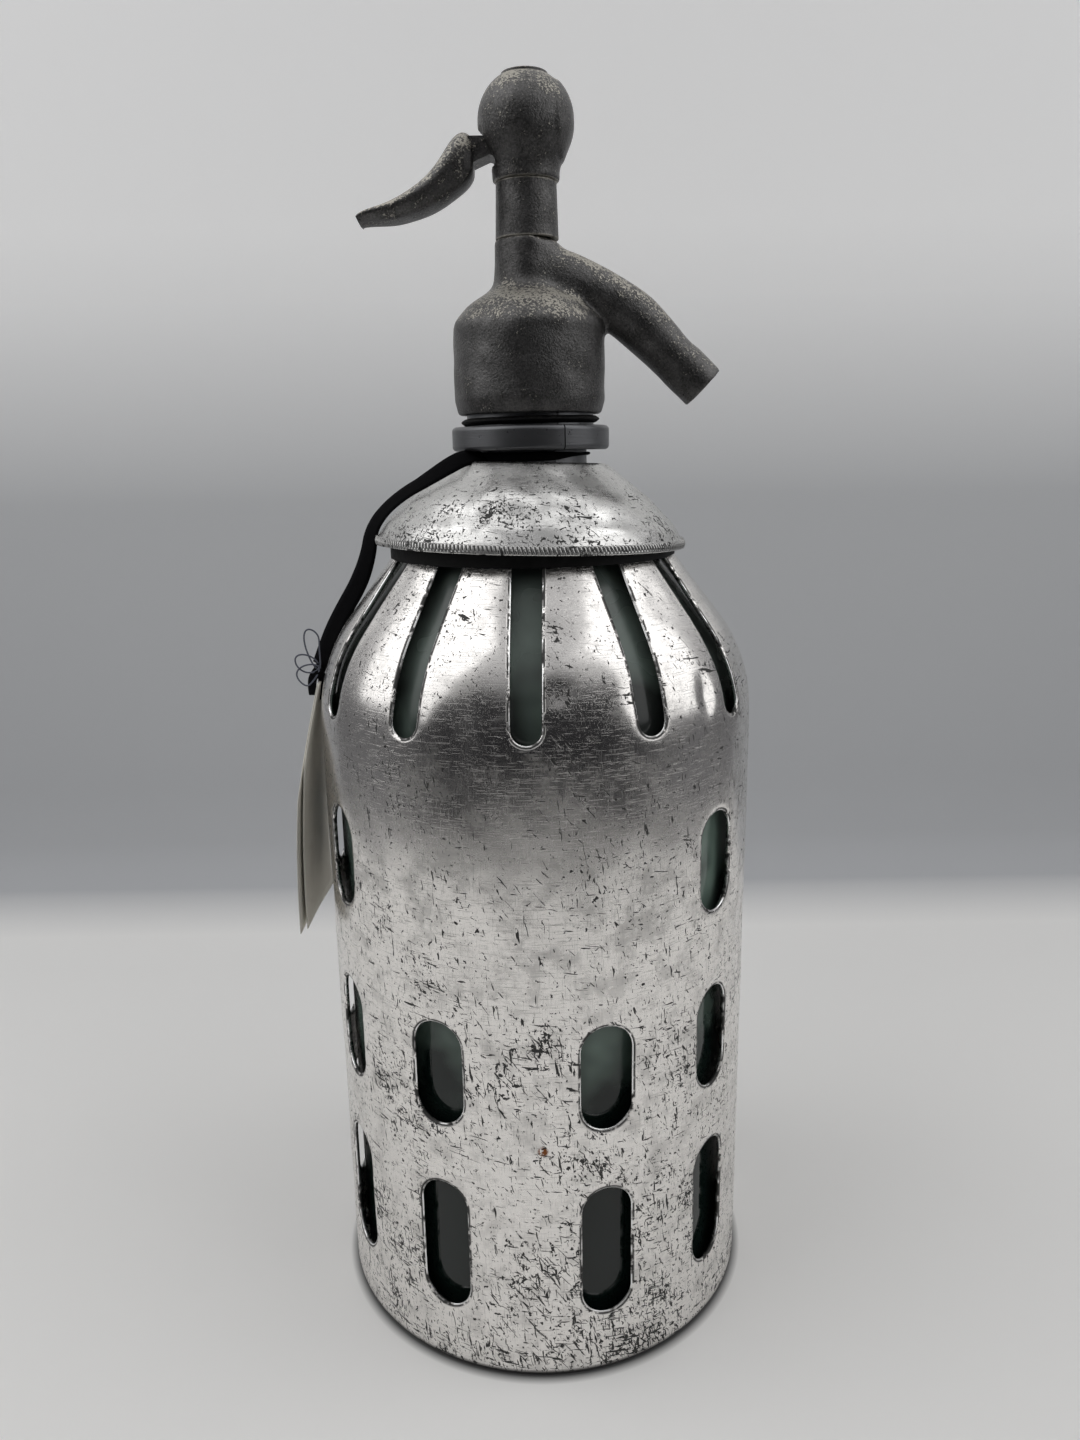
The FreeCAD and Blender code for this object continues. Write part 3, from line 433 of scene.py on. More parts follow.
jacket_metal = worn_aluminium("worn_aluminium", (0.885, 0.860, 0.832), 0.17)
# Painted shade: the dome is the jacket's aluminium with its tint painted darker, so that its lit
# top stays grey instead of glaring white.
dome_metal_painted_darker = worn_aluminium("worn_dome_painted_darker", (0.64, 0.635, 0.62), 0.23)
print("made", jacket_metal.name, dome_metal_painted_darker.name)

# %% [markdown]
# ### Dull casting
# The head is a tin and lead alloy that has gone dark grey. Dust and rubbing leave its upward
# faces a little lighter and browner, and sand from the mould left pinholes. Facing up is read
# from the surface's own normal, so it stays on the piece when the camera moves. Two joints round
# the neck get a thin pale line, and they are found by their height.

# %% Dull casting
seam_heights = (280.9, 293.6)
seam_reach = 11.0


def dull_casting(name, shade=(0.145, 0.142, 0.140), dust=(0.60, 0.57, 0.50), rough=0.30, wear=0.0):
    """Dark metal; dust where the normal points up and a noise allows it; pinholes; pale seams."""
    made = Finish(name, metallic=0.85)
    cloud, fine = made.noise(6.0, 4.0, 0.6), made.noise(0.60, 3.0, 0.72)
    upward = made.step(made.facing("Z"), 0.05, 0.85)
    rubbed = made.step(0.36 * cloud + 0.64 * fine + 0.150 * upward + wear, 0.618, 0.650)
    height, near_axis = made.axis("Z"), made.step(made.axis("X").size(), seam_reach, seam_reach - 1)
    for seam in seam_heights:
        near = made.step((height - seam).size(), 0.40, 0.20) * near_axis
        rubbed = rubbed.larger(near * made.step(made.noise(2.2), 0.36, 0.46) * 0.6)
    holes = made.step(made.cells(3.4), 0.085, 0.05) * made.step(made.noise(11.0), 0.50, 0.58)
    grain = made.step(made.noise(0.45, 2.0), 0.42, 0.60)
    darkened = 0.50 * made.step(cloud, 0.38, 0.60) + 0.38 * grain
    colour = made.blend(darkened, shade, tuple(0.26 * part for part in shade))
    colour = made.blend(rubbed * 0.7, colour, dust)
    made.finish(base_color=made.blend(holes, colour, near_black),
                roughness=rough + 0.16 * cloud + 0.14 * rubbed + 0.2 * holes)
    made.bump(0.40 * cloud + 0.60 * fine - 0.6 * holes, 0.34)
    return made.material


casting_metal = dull_casting("dull_casting")
# Painted shade: a near-black copy of the casting, for the thread that sits in the shade under the
# skirt.
casting_in_painted_shade = dull_casting("casting_painted_shaded", (0.012, 0.012, 0.013), (0.045, 0.043, 0.040), 0.55)
handled_casting = dull_casting("handled_casting", wear=0.035)
print("made", casting_metal.name, casting_in_painted_shade.name, handled_casting.name)

# %% [markdown]
# ### The plainer finishes
# The collar is a smoother, bluer grey than the head. The glass is thick and bottle green, so it
# looks nearly black behind the windows. Paler green drifts in its middle row are painted
# reflections, and it turns paler grey towards the shoulder. Rubber, brass, steel, ribbon and card
# follow the same pattern: a colour that varies a little, a roughness and a small bump.

# %% Collar and glass
def collar_finish():
    """Satin blue-grey with turning marks: rings of noise that run round the axis."""
    made = Finish("satin_collar", metallic=0.85)
    rings = made.noise(0.5, 2.0, 0.5, made.stretched(0.05, 0.05, 3.0))
    cloud = made.noise(5.0, 4.0)
    marks = made.step(made.noise(1.4, 3.0, 0.7), 0.64, 0.70)
    colour = made.blend(cloud * 0.6, (0.165, 0.168, 0.175), (0.095, 0.097, 0.102))
    made.finish(base_color=made.blend(marks, colour, (0.03, 0.03, 0.033)),
                roughness=0.32 + 0.14 * cloud)
    made.bump(0.4 * rings + 0.3 * cloud - 0.4 * marks, 0.10)
    return made.material


def bottle_glass():
    """Dark green glass that lets a little light through; painted reflections in drifts, paler grey
    up high.
    """
    made = Finish("bottle_glass", ior=1.5, transmission_weight=0.15, specular_ior_level=0.38)
    height = made.axis("Z")
    # Painted reflection: paler green drifts in the middle row of windows stand in for light
    # reflected in the glass.
    painted_green_reflection = made.step(made.noise(17.0, 2.0, 0.4), 0.38, 0.62) * made.step(height, 70.0, 92.0)
    # Paler grey between 145 and 190 mm up, towards the shoulder.
    paler_towards_shoulder = 0.45 * made.step(height, 145.0, 190.0)
    colour = made.blend(painted_green_reflection * 0.85, (0.006, 0.012, 0.010), (0.235, 0.325, 0.275))
    made.finish(base_color=made.blend(paler_towards_shoulder, colour, (0.150, 0.158, 0.152)),
                roughness=0.05 + 0.12 * painted_green_reflection + 0.3 * paler_towards_shoulder)
    made.bump(made.noise(22.0, 1.0), 0.10)
    return made.material


collar_metal, green_glass = collar_finish(), bottle_glass()
print("made", collar_metal.name, green_glass.name)

# %% Rubber, brass and steel
def tinted_metal(name, light, dark, rough):
    """A light and a dark tone mixed by a cloud, with a fine grain."""
    made = Finish(name, metallic=1.0)
    cloud = made.noise(2.5, 4.0)
    made.finish(base_color=made.blend(cloud, light, dark), roughness=rough + 0.15 * cloud)
    made.bump(made.noise(0.4, 2.0), 0.03)
    return made.material


def black_rubber():
    """Near black, greyer where it is chalky."""
    made = Finish("black_rubber", specular_ior_level=0.2)
    chalk = made.step(made.noise(3.0, 4.0, 0.7), 0.45, 0.80)
    made.finish(base_color=made.blend(chalk * 0.5, (0.006, 0.006, 0.006), (0.028, 0.028, 0.028)),
                roughness=0.60 + 0.25 * chalk)
    made.bump(made.noise(0.7, 3.0), 0.06)
    return made.material


finish_of = {
    "jacket_aluminium": jacket_metal, "head_casting": casting_metal,
    "collar_metal": collar_metal, "green_glass": green_glass, "black_rubber": black_rubber(),
    "valve_brass": tinted_metal("old_brass", (0.60, 0.45, 0.20), (0.30, 0.21, 0.10), 0.35),
    "spring_steel": tinted_metal("dark_steel", (0.42, 0.42, 0.43), (0.20, 0.19, 0.18), 0.38),
}
print("finishes:", [made.name for made in finish_of.values()])

# %% [markdown]
# The record names a material slot for every solid, so one loop gives each solid the finish of its
# slot. The lever is the one piece that hands have rubbed, and it gets a paler casting.

# %% Dress the kept solids
slot_of = {part["node"]: part["material_slot"] for part in frame["record"]["subparts"]}
dressed = [node for node in frame["nodes"] if slot_of[node] in finish_of]
for node in dressed:
    frame["nodes"][node].data.materials.clear()
    frame["nodes"][node].data.materials.append(finish_of[slot_of[node]])
frame["nodes"]["lever"].data.materials[0] = handled_casting
print("dressed", len(dressed), "solids")

# %% [markdown]
# ## The jacket
# The jacket is one spun can with slots and windows punched through it. Flattened out it is a
# rectangle: the azimuth goes across and the length along the profile goes up. So the mesh is a
# grid on that rectangle, with lines about two millimetres apart. Round each hole a block of cells
# is left out, and rings of points lead from the block's edge to the hole's rounded outline. Only
# then is everything wrapped round the axis, pressed with dents and given its thickness. Cutting
# the holes out of a plain can would leave ragged, uneven faces that dents would show up.

# %% Profile of the jacket
foot_radius, wall_radius, top_radius, mouth_radius = 50.0, 57.0, 30.362, 17.5
shoulder_z, top_z = 178.45, 213.8
foot_bend, shoulder_bend, top_bend, profile_step = 2.0, 43.2, 12.0, 0.25
jacket_profile = soft_profile(
    [(foot_radius, 0.0), (wall_radius, 0.0, foot_bend), (wall_radius, shoulder_z, shoulder_bend),
     (top_radius, top_z, top_bend), (mouth_radius, top_z)], profile_step)
steps_along = np.linalg.norm(np.diff(jacket_profile, axis=0), axis=1)
jacket_run = np.concatenate([[0.0], np.cumsum(steps_along)])
jacket_length = jacket_run[-1]
foot_points = 20     # points of the foot, where the radius still grows


def jacket_at(run):
    """Radius and height at a length along the profile, by straight interpolation."""
    radius, height = jacket_profile.T
    return np.interp(run, jacket_run, radius), np.interp(run, jacket_run, height)


def run_at_height(height):
    """Length along the profile where the wall or the shoulder reaches a height."""
    return float(np.interp(height, jacket_profile[:, 1], jacket_run))


def run_at_radius(radius):
    """Length along the shoulder where it has closed in to a radius."""
    past_foot = jacket_profile[foot_points:, 0]
    return float(np.interp(-radius, -past_foot, jacket_run[foot_points:]))


print("profile length %.1f mm" % jacket_length)

# %% Holes: windows in ten columns, slots in the shoulder
# A hole: azimuth of its middle, its two ends along the profile, half its width, and how far the
# block round it reaches to each side in degrees and past each end in millimetres.
Hole = namedtuple("Hole", "angle low high half_width block_angle block_margin")
window_shape, slot_shape = (6.5, 9.7, 3.3), (3.5, 8.3, 2.6)
window_rows = ((18.1, 54.4), (71.4, 98.9), (120.3, 145.8))
column_angles, panel_angles = (21.2, 55.6, 90.0, 124.4, 158.8), (21.2, 158.8)
windows_turn, slots_turn, slot_count = -5.0, -2.0, 12
holes = []
for row, (low, high) in enumerate(window_rows):
    for angle in column_angles:
        if row < 2 or angle not in panel_angles:
            ends = run_at_height(low), run_at_height(high)
            holes += [Hole(windows_turn + side * angle, *ends, *window_shape) for side in (1, -1)]
slot_low, slot_high = run_at_height(168.8), run_at_radius(34.0)
holes += [Hole(slots_turn + 360.0 / slot_count * number, slot_low, slot_high, *slot_shape)
          for number in range(slot_count)]
print(len(holes), "holes")

# %% Grid lines that pass along every block's edge
seam = 38.0
column_step, row_step, foot_step = 1.75, 2.3, 0.6     # the first one in degrees
foot_from, foot_to = 5.0, 10.5                        # the bend at the foot, along the profile


def fill_lines(edges, step):
    """Every edge, with even lines between neighbours so that no gap is wider than the step."""
    edges = np.unique(np.round(edges, 6))
    spans = [np.linspace(a, b, max(1, math.ceil((b - a) / step(a))), endpoint=False)
             for a, b in zip(edges, edges[1:])]
    return np.concatenate(spans + [edges[-1:]])


def turned_in(angle):
    """An azimuth brought between the seam and one turn past it."""
    return (angle - seam) % 360.0 + seam


def block_sides(hole):
    """Azimuths and profile lengths of the sides of the block round a hole."""
    angles = [turned_in(hole.angle + side * hole.block_angle) for side in (-1, 1)]
    return angles, [hole.low - hole.block_margin, hole.high + hole.block_margin]


angle_edges = [angle for hole in holes for angle in block_sides(hole)[0]]
run_edges = [run for hole in holes for run in block_sides(hole)[1]]
angle_lines = fill_lines([seam, seam + 360.0] + angle_edges, lambda angle: column_step)[:-1]
run_lines = fill_lines([0.0, foot_from, foot_to, jacket_length] + run_edges,
                       lambda run: foot_step if foot_from - 0.1 < run < foot_to - 0.1 else row_step)
print(len(angle_lines), "by", len(run_lines), "lines")

# %% Rings of points round each hole
ring_shares = np.array([0.0, 0.05, 0.13, 0.25, 0.45, 0.70])


def block_border(columns, row_range, column_range):
    """Grid indices round a block, counter-clockwise: along the bottom, up, back, and down."""
    low, high = row_range
    left, right = column_range
    parts = [low * columns + np.arange(left, right), np.arange(low, high) * columns + right,
             high * columns + np.arange(right, left, -1), np.arange(high, low, -1) * columns + left]
    return np.concatenate(parts)


def ring_points(hole, border_angle, border_run):
    """Rings from a rounded slot's outline out to a block's border.

    Across is r sin(azimuth - middle). The nearest point S of the slot's middle line to a border
    point P gives the outline point Q = S + (P - S) w / |P - S|, and a ring is Q + share (P - Q).
    """
    offset = np.radians(short_way(border_angle - hole.angle))
    border = np.stack([jacket_at(border_run)[0] * np.sin(offset), border_run], axis=-1)
    level = np.clip(border_run, hole.low + hole.half_width, hole.high - hole.half_width)
    middle = np.stack([0 * border_run, level], axis=-1)
    outline = middle + unit(border - middle) * hole.half_width
    rings = outline + ring_shares[:, None, None] * (border - outline)
    gap = ring_shares[:, None] * np.linalg.norm(border - outline, axis=-1)
    turn = np.degrees(np.arcsin(rings[..., 0] / jacket_at(rings[..., 1])[0]))
    return hole.angle + turn, rings[..., 1], gap


print(len(ring_shares), "rings round a hole")

# %% [markdown]
# Grid and rings are now put together. Every hole takes its block's cells away and brings its
# rings, whose outer edge uses the grid's own points, so nothing has to be merged afterwards.

# %% Grid and rings as one flat mesh
rows, columns = len(run_lines), len(angle_lines)
far_from_edge = 12.0
all_runs, all_angles = (grid.ravel() for grid in np.meshgrid(run_lines, angle_lines, indexing="ij"))
jacket_parts = [(all_angles, all_runs, np.full(rows * columns, far_from_edge))]
kept_cells = np.ones((rows - 1, columns), bool)
ring_quads = []
point_count = rows * columns
for hole in holes:
    angles, runs = block_sides(hole)
    row_range = [int(np.argmin(abs(run_lines - run))) for run in runs]
    column_range = [int(np.argmin(abs(angle_lines - angle))) for angle in angles]
    kept_cells[slice(*row_range), slice(*column_range)] = False
    border = block_border(columns, row_range, column_range)
    rings = ring_points(hole, all_angles[border], all_runs[border])
    jacket_parts.append([values.ravel() for values in rings])
    index = point_count + np.arange(rings[0].size).reshape(rings[0].shape)
    index = np.concatenate([index, border[None]])
    ahead = np.roll(index, -1, axis=1)
    ring_quads.append(np.stack([index[:-1], index[1:], ahead[1:], ahead[:-1]], -1).reshape(-1, 4))
    point_count += rings[0].size
jacket_angles, jacket_runs, jacket_gaps = (np.concatenate(part) for part in zip(*jacket_parts))
quads = grid_faces(rows, columns, loop_columns=True)[kept_cells.ravel()]
jacket_faces = np.concatenate([quads] + ring_quads)
print("jacket:", point_count, "points,", len(jacket_faces), "faces")

# %% [markdown]
# A hand-made can is never true. Slow waves round and up the wall make its reflections wander, a
# few dents catch the light, and the metal turns in a little at each punched edge. All of this is
# a height that moves each point along the profile's normal. Scars are the same kind of patch as
# dents, but they are kept as a value for the finish.

# %% Dents and scars of the jacket
jacket_dents = (     # azimuth, height, depth, width across, width up
    (25.0, 178.0, 0.8, 3.0, 2.4), (5.5, 180.0, 0.7, 3.4, 1.8), (5.0, 192.5, 0.5, 3.0, 2.0),
    (-20.0, 194.5, 0.5, 3.0, 1.6), (-30.0, 6.5, 0.8, 1.4, 7.0), (-18.0, 168.0, 0.5, 5.0, 8.0),
    (46.0, 175.0, 0.9, 2.4, 4.0), (12.0, 60.0, 0.5, 8.0, 6.0), (-14.0, 118.0, 0.4, 9.0, 9.0),
    (70.0, 110.0, 0.8, 7.0, 9.0), (118.0, 160.0, 1.1, 9.0, 6.0), (200.0, 108.0, 0.9, 8.0, 12.0),
    (160.0, 60.0, 0.8, 6.0, 5.0), (-120.0, 110.0, 1.0, 7.0, 6.0), (-75.0, 62.0, 0.7, 6.0, 8.0),
    (240.0, 170.0, 0.8, 5.0, 4.0),
)
jacket_scars = (     # azimuth, height, strength, width across, width up
    (5.5, 180.0, 1.0, 4.0, 1.8), (25.0, 177.6, 0.9, 4.0, 2.2), (5.0, 192.5, 0.9, 3.6, 1.4),
    (-20.0, 194.5, 0.9, 3.4, 1.3), (-29.0, 68.0, 0.7, 4.0, 1.6), (14.0, 60.5, 0.7, 3.0, 4.5),
    (1.0, 98.0, 0.8, 2.4, 4.0), (-45.6, 11.0, 0.9, 2.0, 6.0), (-4.0, 30.0, 0.5, 7.0, 12.0),
    (30.0, 18.0, 0.5, 6.0, 9.0), (38.0, 80.0, 0.4, 7.0, 12.0), (0.0, 5.0, 0.35, 60.0, 4.0),
    (60.0, 176.0, 0.6, 4.0, 3.0), (150.0, 120.0, 0.6, 9.0, 6.0), (205.0, 60.0, 0.6, 8.0, 8.0),
    (-95.0, 150.0, 0.6, 7.0, 5.0),
)


def patch_sum(patches, angle, level, degree_length):
    """Sum of size exp(-(arc / across)^2 - (rise / up)^2), both measured from a patch's middle."""
    total = 0.0
    for middle, height, size, across, up in patches:
        arc = degree_length * short_way(angle - middle)
        total = total + size * np.exp(-(arc / across) ** 2 - ((level - height) / up) ** 2)
    return total


def jacket_patches(patches, angle, run):
    """Patches on the jacket, whose heights are first turned into lengths along the profile."""
    on_profile = [(middle, run_at_height(height), *rest) for middle, height, *rest in patches]
    return patch_sum(on_profile, angle, run, math.radians(wall_radius))


print(len(jacket_dents), "dents,", len(jacket_scars), "scars")

# %% Wrap the sheet round the axis and press the dents
wave_count, wave_height, normal_step = 26, 0.020, 0.4
sheet_thickness, edge_drop, edge_width = 1.2, 0.42, 0.45


def waves(angle, run):
    """Sum of sines with whole numbers of crests round the axis, so that the sheet closes."""
    dice = np.random.default_rng(5)
    turn = np.radians(angle)
    height = 0.0
    for _ in range(wave_count):
        around, along = dice.integers(2, 22), 2 * np.pi / dice.uniform(18, 90)
        slanted = around * turn + along * run * dice.choice([-1, 1])
        height = height + np.sin(slanted + dice.uniform(0, 6.3))
    return height * wave_height


def wrapped(angle, run, height):
    """Point at an azimuth and a profile length, moved along the profile's normal by a height."""
    radius, level = jacket_at(run)
    ahead, behind = jacket_at(run + normal_step), jacket_at(run - normal_step)
    along = unit(np.stack([ahead[0] - behind[0], ahead[1] - behind[1]], axis=-1))
    return turned(radius + height * along[:, 1], np.radians(angle), level - height * along[:, 0])


above_foot = np.clip((jacket_runs - 9.0) / 6.0, 0, 1)
below_mouth = np.clip((jacket_length - jacket_runs) / 12.0, 0, 1)
dented = jacket_patches(jacket_dents, jacket_angles, jacket_runs)
pressed = waves(jacket_angles, jacket_runs) - dented
lowered = np.clip(pressed, -1.2, 0.05) * above_foot * below_mouth
rolled_edge = edge_drop * np.exp(-jacket_gaps / edge_width)
jacket_points = wrapped(jacket_angles, jacket_runs, lowered - rolled_edge)
jacket_scar = np.clip(jacket_patches(jacket_scars, jacket_angles, jacket_runs), 0.0, 1.0)
used = np.unique(jacket_faces)
renumber = np.zeros(point_count, int)
renumber[used] = np.arange(len(used))
jacket_skin = add_piece("jacket_skin", jacket_points[used], renumber[jacket_faces], jacket_metal,
                        kept={"edge": jacket_gaps[used], "scar": jacket_scar[used]})
wall = jacket_skin.modifiers.new("sheet", "SOLIDIFY")
wall.thickness, wall.offset = sheet_thickness * MM, -1.0
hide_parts("jacket")
print("deepest dent %.2f mm" % -lowered.min())

# %% [markdown]
# ## The dome
# The dome is a second spun sheet that sits a little askew on its rubber ring. Its profile is a
# closed loop, up the outside, over the lip and down the inside, so the surface needs no modifier.
# It has taken more knocks than the jacket: broad shallow hammer marks and a few sharp creases.

# %% Profiles of the dome
dome_foot_z, dome_top_z, rim_radius, lip_radius = 207.742, 227.942, 39.9, 15.4
dome_outline = soft_profile(
    [(rim_radius, dome_foot_z), (rim_radius, dome_foot_z + 0.8), (37.3, dome_foot_z + 5.6, 8.0),
     (31.0, dome_foot_z + 12.1, 40.0), (19.9, dome_top_z, 1.5), (19.1, dome_top_z + 0.4, 0.2),
     (18.1, dome_top_z, 0.5), (lip_radius, dome_top_z), (lip_radius, dome_top_z - 1.0)], 0.55)
dome_inside = soft_profile(
    [(lip_radius, dome_top_z - 1.0), (19.5, dome_top_z - 1.0, 0.6),
     (30.4, dome_foot_z + 11.3, 39.0), (36.4, dome_foot_z + 5.1, 7.0),
     (38.9, dome_foot_z + 0.6), (38.9, dome_foot_z)], 1.6)
high_azimuth, dome_lean = math.radians(-62.0), math.radians(1.9)


def askew(points):
    """Leans points about the middle of the dome's top, towards its raised side (Rodrigues)."""
    pivot = np.array([0.0, 0.0, dome_top_z])
    axis = np.array([-math.cos(high_azimuth), -math.sin(high_azimuth), 0.0])
    arm = points - pivot
    along = (arm @ axis)[..., None] * axis
    level = (arm - along) * math.cos(dome_lean) + np.cross(axis, arm) * math.sin(dome_lean)
    return pivot + along + level


print(len(dome_outline), "points outside,", len(dome_inside), "inside")

# %% Hammer marks, dents and scars of the dome
dome_dents = (       # azimuth, share of the height, depth and width in mm, height as a share
    (15.4, 0.48, 0.70, 4.0, 0.11), (-17.7, 0.46, 0.60, 1.4, 0.16), (-6.0, 0.45, 0.45, 6.0, 0.16),
    (-34.0, 0.42, 0.30, 6.0, 0.16), (95.0, 0.5, 0.8, 7.0, 0.14), (170.0, 0.6, 0.8, 9.0, 0.2),
    (-120.0, 0.4, 0.8, 6.0, 0.12), (32.0, 0.35, 0.35, 8.0, 0.14),
)
dome_scars = (       # the same, with a strength in place of the depth
    (-17.7, 0.44, 1.0, 1.5, 0.12), (-7.0, 0.42, 0.60, 6.5, 0.18), (15.0, 0.48, 0.45, 4.0, 0.10),
    (58.0, 0.64, 0.9, 3.0, 0.06), (63.0, 0.38, 0.7, 3.4, 0.12), (-36.0, 0.48, 0.35, 6.0, 0.12),
    (0.0, 0.14, 0.30, 70.0, 0.06), (140.0, 0.5, 0.5, 9.0, 0.2), (-130.0, 0.5, 0.5, 9.0, 0.2),
)
hammer_waves = (     # crests round the axis, turns up the height, phase
    (3, 0.4, 0.3), (5, 0.9, 2.0), (7, 0.5, 4.1), (9, 1.3, 1.2), (12, 1.0, 5.0), (17, 1.7, 0.4),
    (23, 1.2, 2.6),
)
dome_degree, dome_turn_step = 0.6, 1.25     # mm of rim for a degree; degrees between columns
dome_turns = np.radians(np.arange(0.0, 360.0, dome_turn_step))
outside = turned(dome_outline[:, :1], dome_turns, dome_outline[:, 1:])
inside = turned(dome_inside[1:, :1], dome_turns, dome_inside[1:, 1:])
height_share = (outside[..., 2] - dome_foot_z) / (dome_top_z - dome_foot_z)
hammer = sum(np.sin(crests * dome_turns + up * height_share * 9 + phase)
             for crests, up, phase in hammer_waves)
knocked, dome_scar = (patch_sum(patches, np.degrees(dome_turns), height_share, dome_degree)
                      for patches in (dome_dents, dome_scars))
print("deepest knock %.2f mm" % knocked.max())

# %% Dome
hammer_height, spun_drop, inside_drop = 0.026, 0.20, 0.9
soft = np.clip(height_share * 8, 0, 1) * np.clip((1.0 - height_share) * 7, 0, 1)
fall = (hammer_height * hammer - spun_drop - knocked) * soft
outside = outside + fall[..., None] * unit(turned(1.0, dome_turns, 0.8))
belly = np.clip(np.sin(np.linspace(0, np.pi, len(inside))), 0, 1)
inside = inside - np.array([0.0, 0.0, inside_drop]) * belly[:, None, None]
dome_points = askew(np.concatenate([outside, inside]))
dome_faces = grid_faces(len(dome_points), len(dome_turns), loop_rows=True, loop_columns=True)
dome_scar = np.concatenate([np.clip(dome_scar, 0, 1), np.zeros(inside.shape[:2])])
dome_skin = add_piece("dome_skin", dome_points, facing_out(dome_points, dome_faces), dome_metal_painted_darker,
                      kept={"scar": dome_scar, "edge": far_from_edge + 0 * dome_scar})
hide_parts("shoulder_dome")

# %% [markdown]
# The rim carries a band of fine slanted teeth, pressed in by a knurling wheel. It is a narrow
# strip round the rim whose radius follows a wave with 250 crests, shifted along the height. Dirt
# lies between the crests, where the strip keeps a "groove" value of 1.

# %% Knurled rim
tooth_count, tooth_points, knurl_height, knurl_rows = 250, 6, 2.2, 8
tooth_slant, tooth_depth, rim_taper = 1.9, 0.26, 0.33
tooth_turns = np.linspace(0, 2 * np.pi, tooth_count * tooth_points, endpoint=False)
rise = np.linspace(0.0, knurl_height, knurl_rows)[:, None]
crest = 0.5 + 0.5 * np.sin(tooth_count * tooth_turns + tooth_slant * rise)
swell = np.sin(np.pi * np.clip(rise / knurl_height, 0.04, 0.96))
knurl_radius = rim_radius - 0.05 - rim_taper * (rise / knurl_height) ** 2
knurl = turned(knurl_radius + tooth_depth * crest * swell, tooth_turns, dome_foot_z + rise)
core = turned(rim_radius - 0.5, tooth_turns, dome_foot_z + np.array([[1.6], [0.05]]))
knurl_points = askew(np.concatenate([knurl, core]))
knurl_faces = grid_faces(len(knurl_points), len(tooth_turns), loop_rows=True, loop_columns=True)
groove = np.clip(1.25 - 1.9 * crest, 0, 1) * (swell > 0.3)
groove = np.concatenate([groove, np.zeros((len(core), len(tooth_turns)))])
knurled_rim = add_piece("knurled_rim", knurl_points, knurl_faces, dome_metal_painted_darker,
                        kept={"groove": groove, "edge": far_from_edge + 0 * groove})

# %% [markdown]
# ## The cast head
# In the casting the spout grows out of the neck with a soft fillet, and every edge is worn. The
# solid has the right sizes but a hard seam there. So a copy of its mesh is closed up, rebuilt as
# small even quads by a voxel Remesh, and then relaxed: each point moves towards the mean of its
# neighbours, only a little in general and many times over where spout and neck meet.

# %% Merged and remeshed copy of a solid
def final_mesh(data, voxel=None):
    """Points in millimetres and the mesh that Blender makes of a mesh or curve.

    With a voxel size in millimetres, the mesh is rebuilt as even quads of that size first.
    """
    helper = add_object("helper", data)
    if voxel:
        remesh = helper.modifiers.new("remesh", "REMESH")
        remesh.mode, remesh.voxel_size = "VOXEL", voxel * MM
    shown = helper.evaluated_get(bpy.context.evaluated_depsgraph_get())
    mesh = bpy.data.meshes.new_from_object(shown)
    points = np.empty(len(mesh.vertices) * 3, np.float32)
    mesh.vertices.foreach_get("co", points)
    bpy.data.objects.remove(helper)
    return points.reshape(-1, 3).astype(float) / MM, mesh


def merged_copy(nodes, voxel):
    """The solids' points merged and remeshed at a voxel size: points, faces, edges."""
    mesh, work = bpy.data.meshes.new("copy"), bmesh.new()
    for node in nodes:
        work.from_mesh(frame["nodes"][node].data)
    bmesh.ops.remove_doubles(work, verts=work.verts, dist=1e-6)
    work.to_mesh(mesh)
    work.free()
    points, done = final_mesh(mesh, voxel)
    faces = np.array([tuple(face.vertices) for face in done.polygons if len(face.vertices) == 4])
    return points, faces, np.array([tuple(edge.vertices) for edge in done.edges])


def relaxed(points, edges, rounds):
    """Moves each point halfway towards its neighbours' mean, a number of times."""
    count = np.bincount(edges.ravel(), minlength=len(points))[:, None]
    first, second = edges.T
    for _ in range(rounds):
        total = np.stack([np.bincount(first, part[second], len(points))
                          + np.bincount(second, part[first], len(points)) for part in points.T], -1)
        points = points + 0.5 * (total / count - points)
    return points


head_points, head_faces, head_edges = merged_copy(("head_body",), 0.55)
print("remeshed head:", len(head_points), "points")

# %% [markdown]
# Relaxing everything alike would shrink the spout and round its end. So two versions are made, a
# light and a strong one, and a weight mixes them: 1 in a band round the spout's root and over the
# neck's flare, 0 elsewhere. A slow wander of a tenth of a millimetre then takes the lathe's
# trueness away from the outside, and leaves the bore alone.

# %% Soften the seam and let the casting wander
spout_axis_z, spout_reach, seam_radius, seam_width = 271.7, 12.5, 8.6, 2.6
flare_z, flare_width, flare_reach, bore_clear, wander_height = 269.0, 3.6, 15.0, 6.6, 0.10


def ripple(across, along, seed, count, coarse, fine, height):
    """Sines of random direction: height / count^0.5 * sum of sin(kx across + ky along + phase)."""
    dice = np.random.default_rng(seed)
    waves = 2 * np.pi / dice.uniform(fine, coarse, count)
    turns, phases = dice.uniform(0, np.pi, count), dice.uniform(0, 2 * np.pi, count)
    total = sum(np.sin(k * np.cos(turn) * across + k * np.sin(turn) * along + phase)
                for k, turn, phase in zip(waves, turns, phases))
    return total * height / math.sqrt(count)


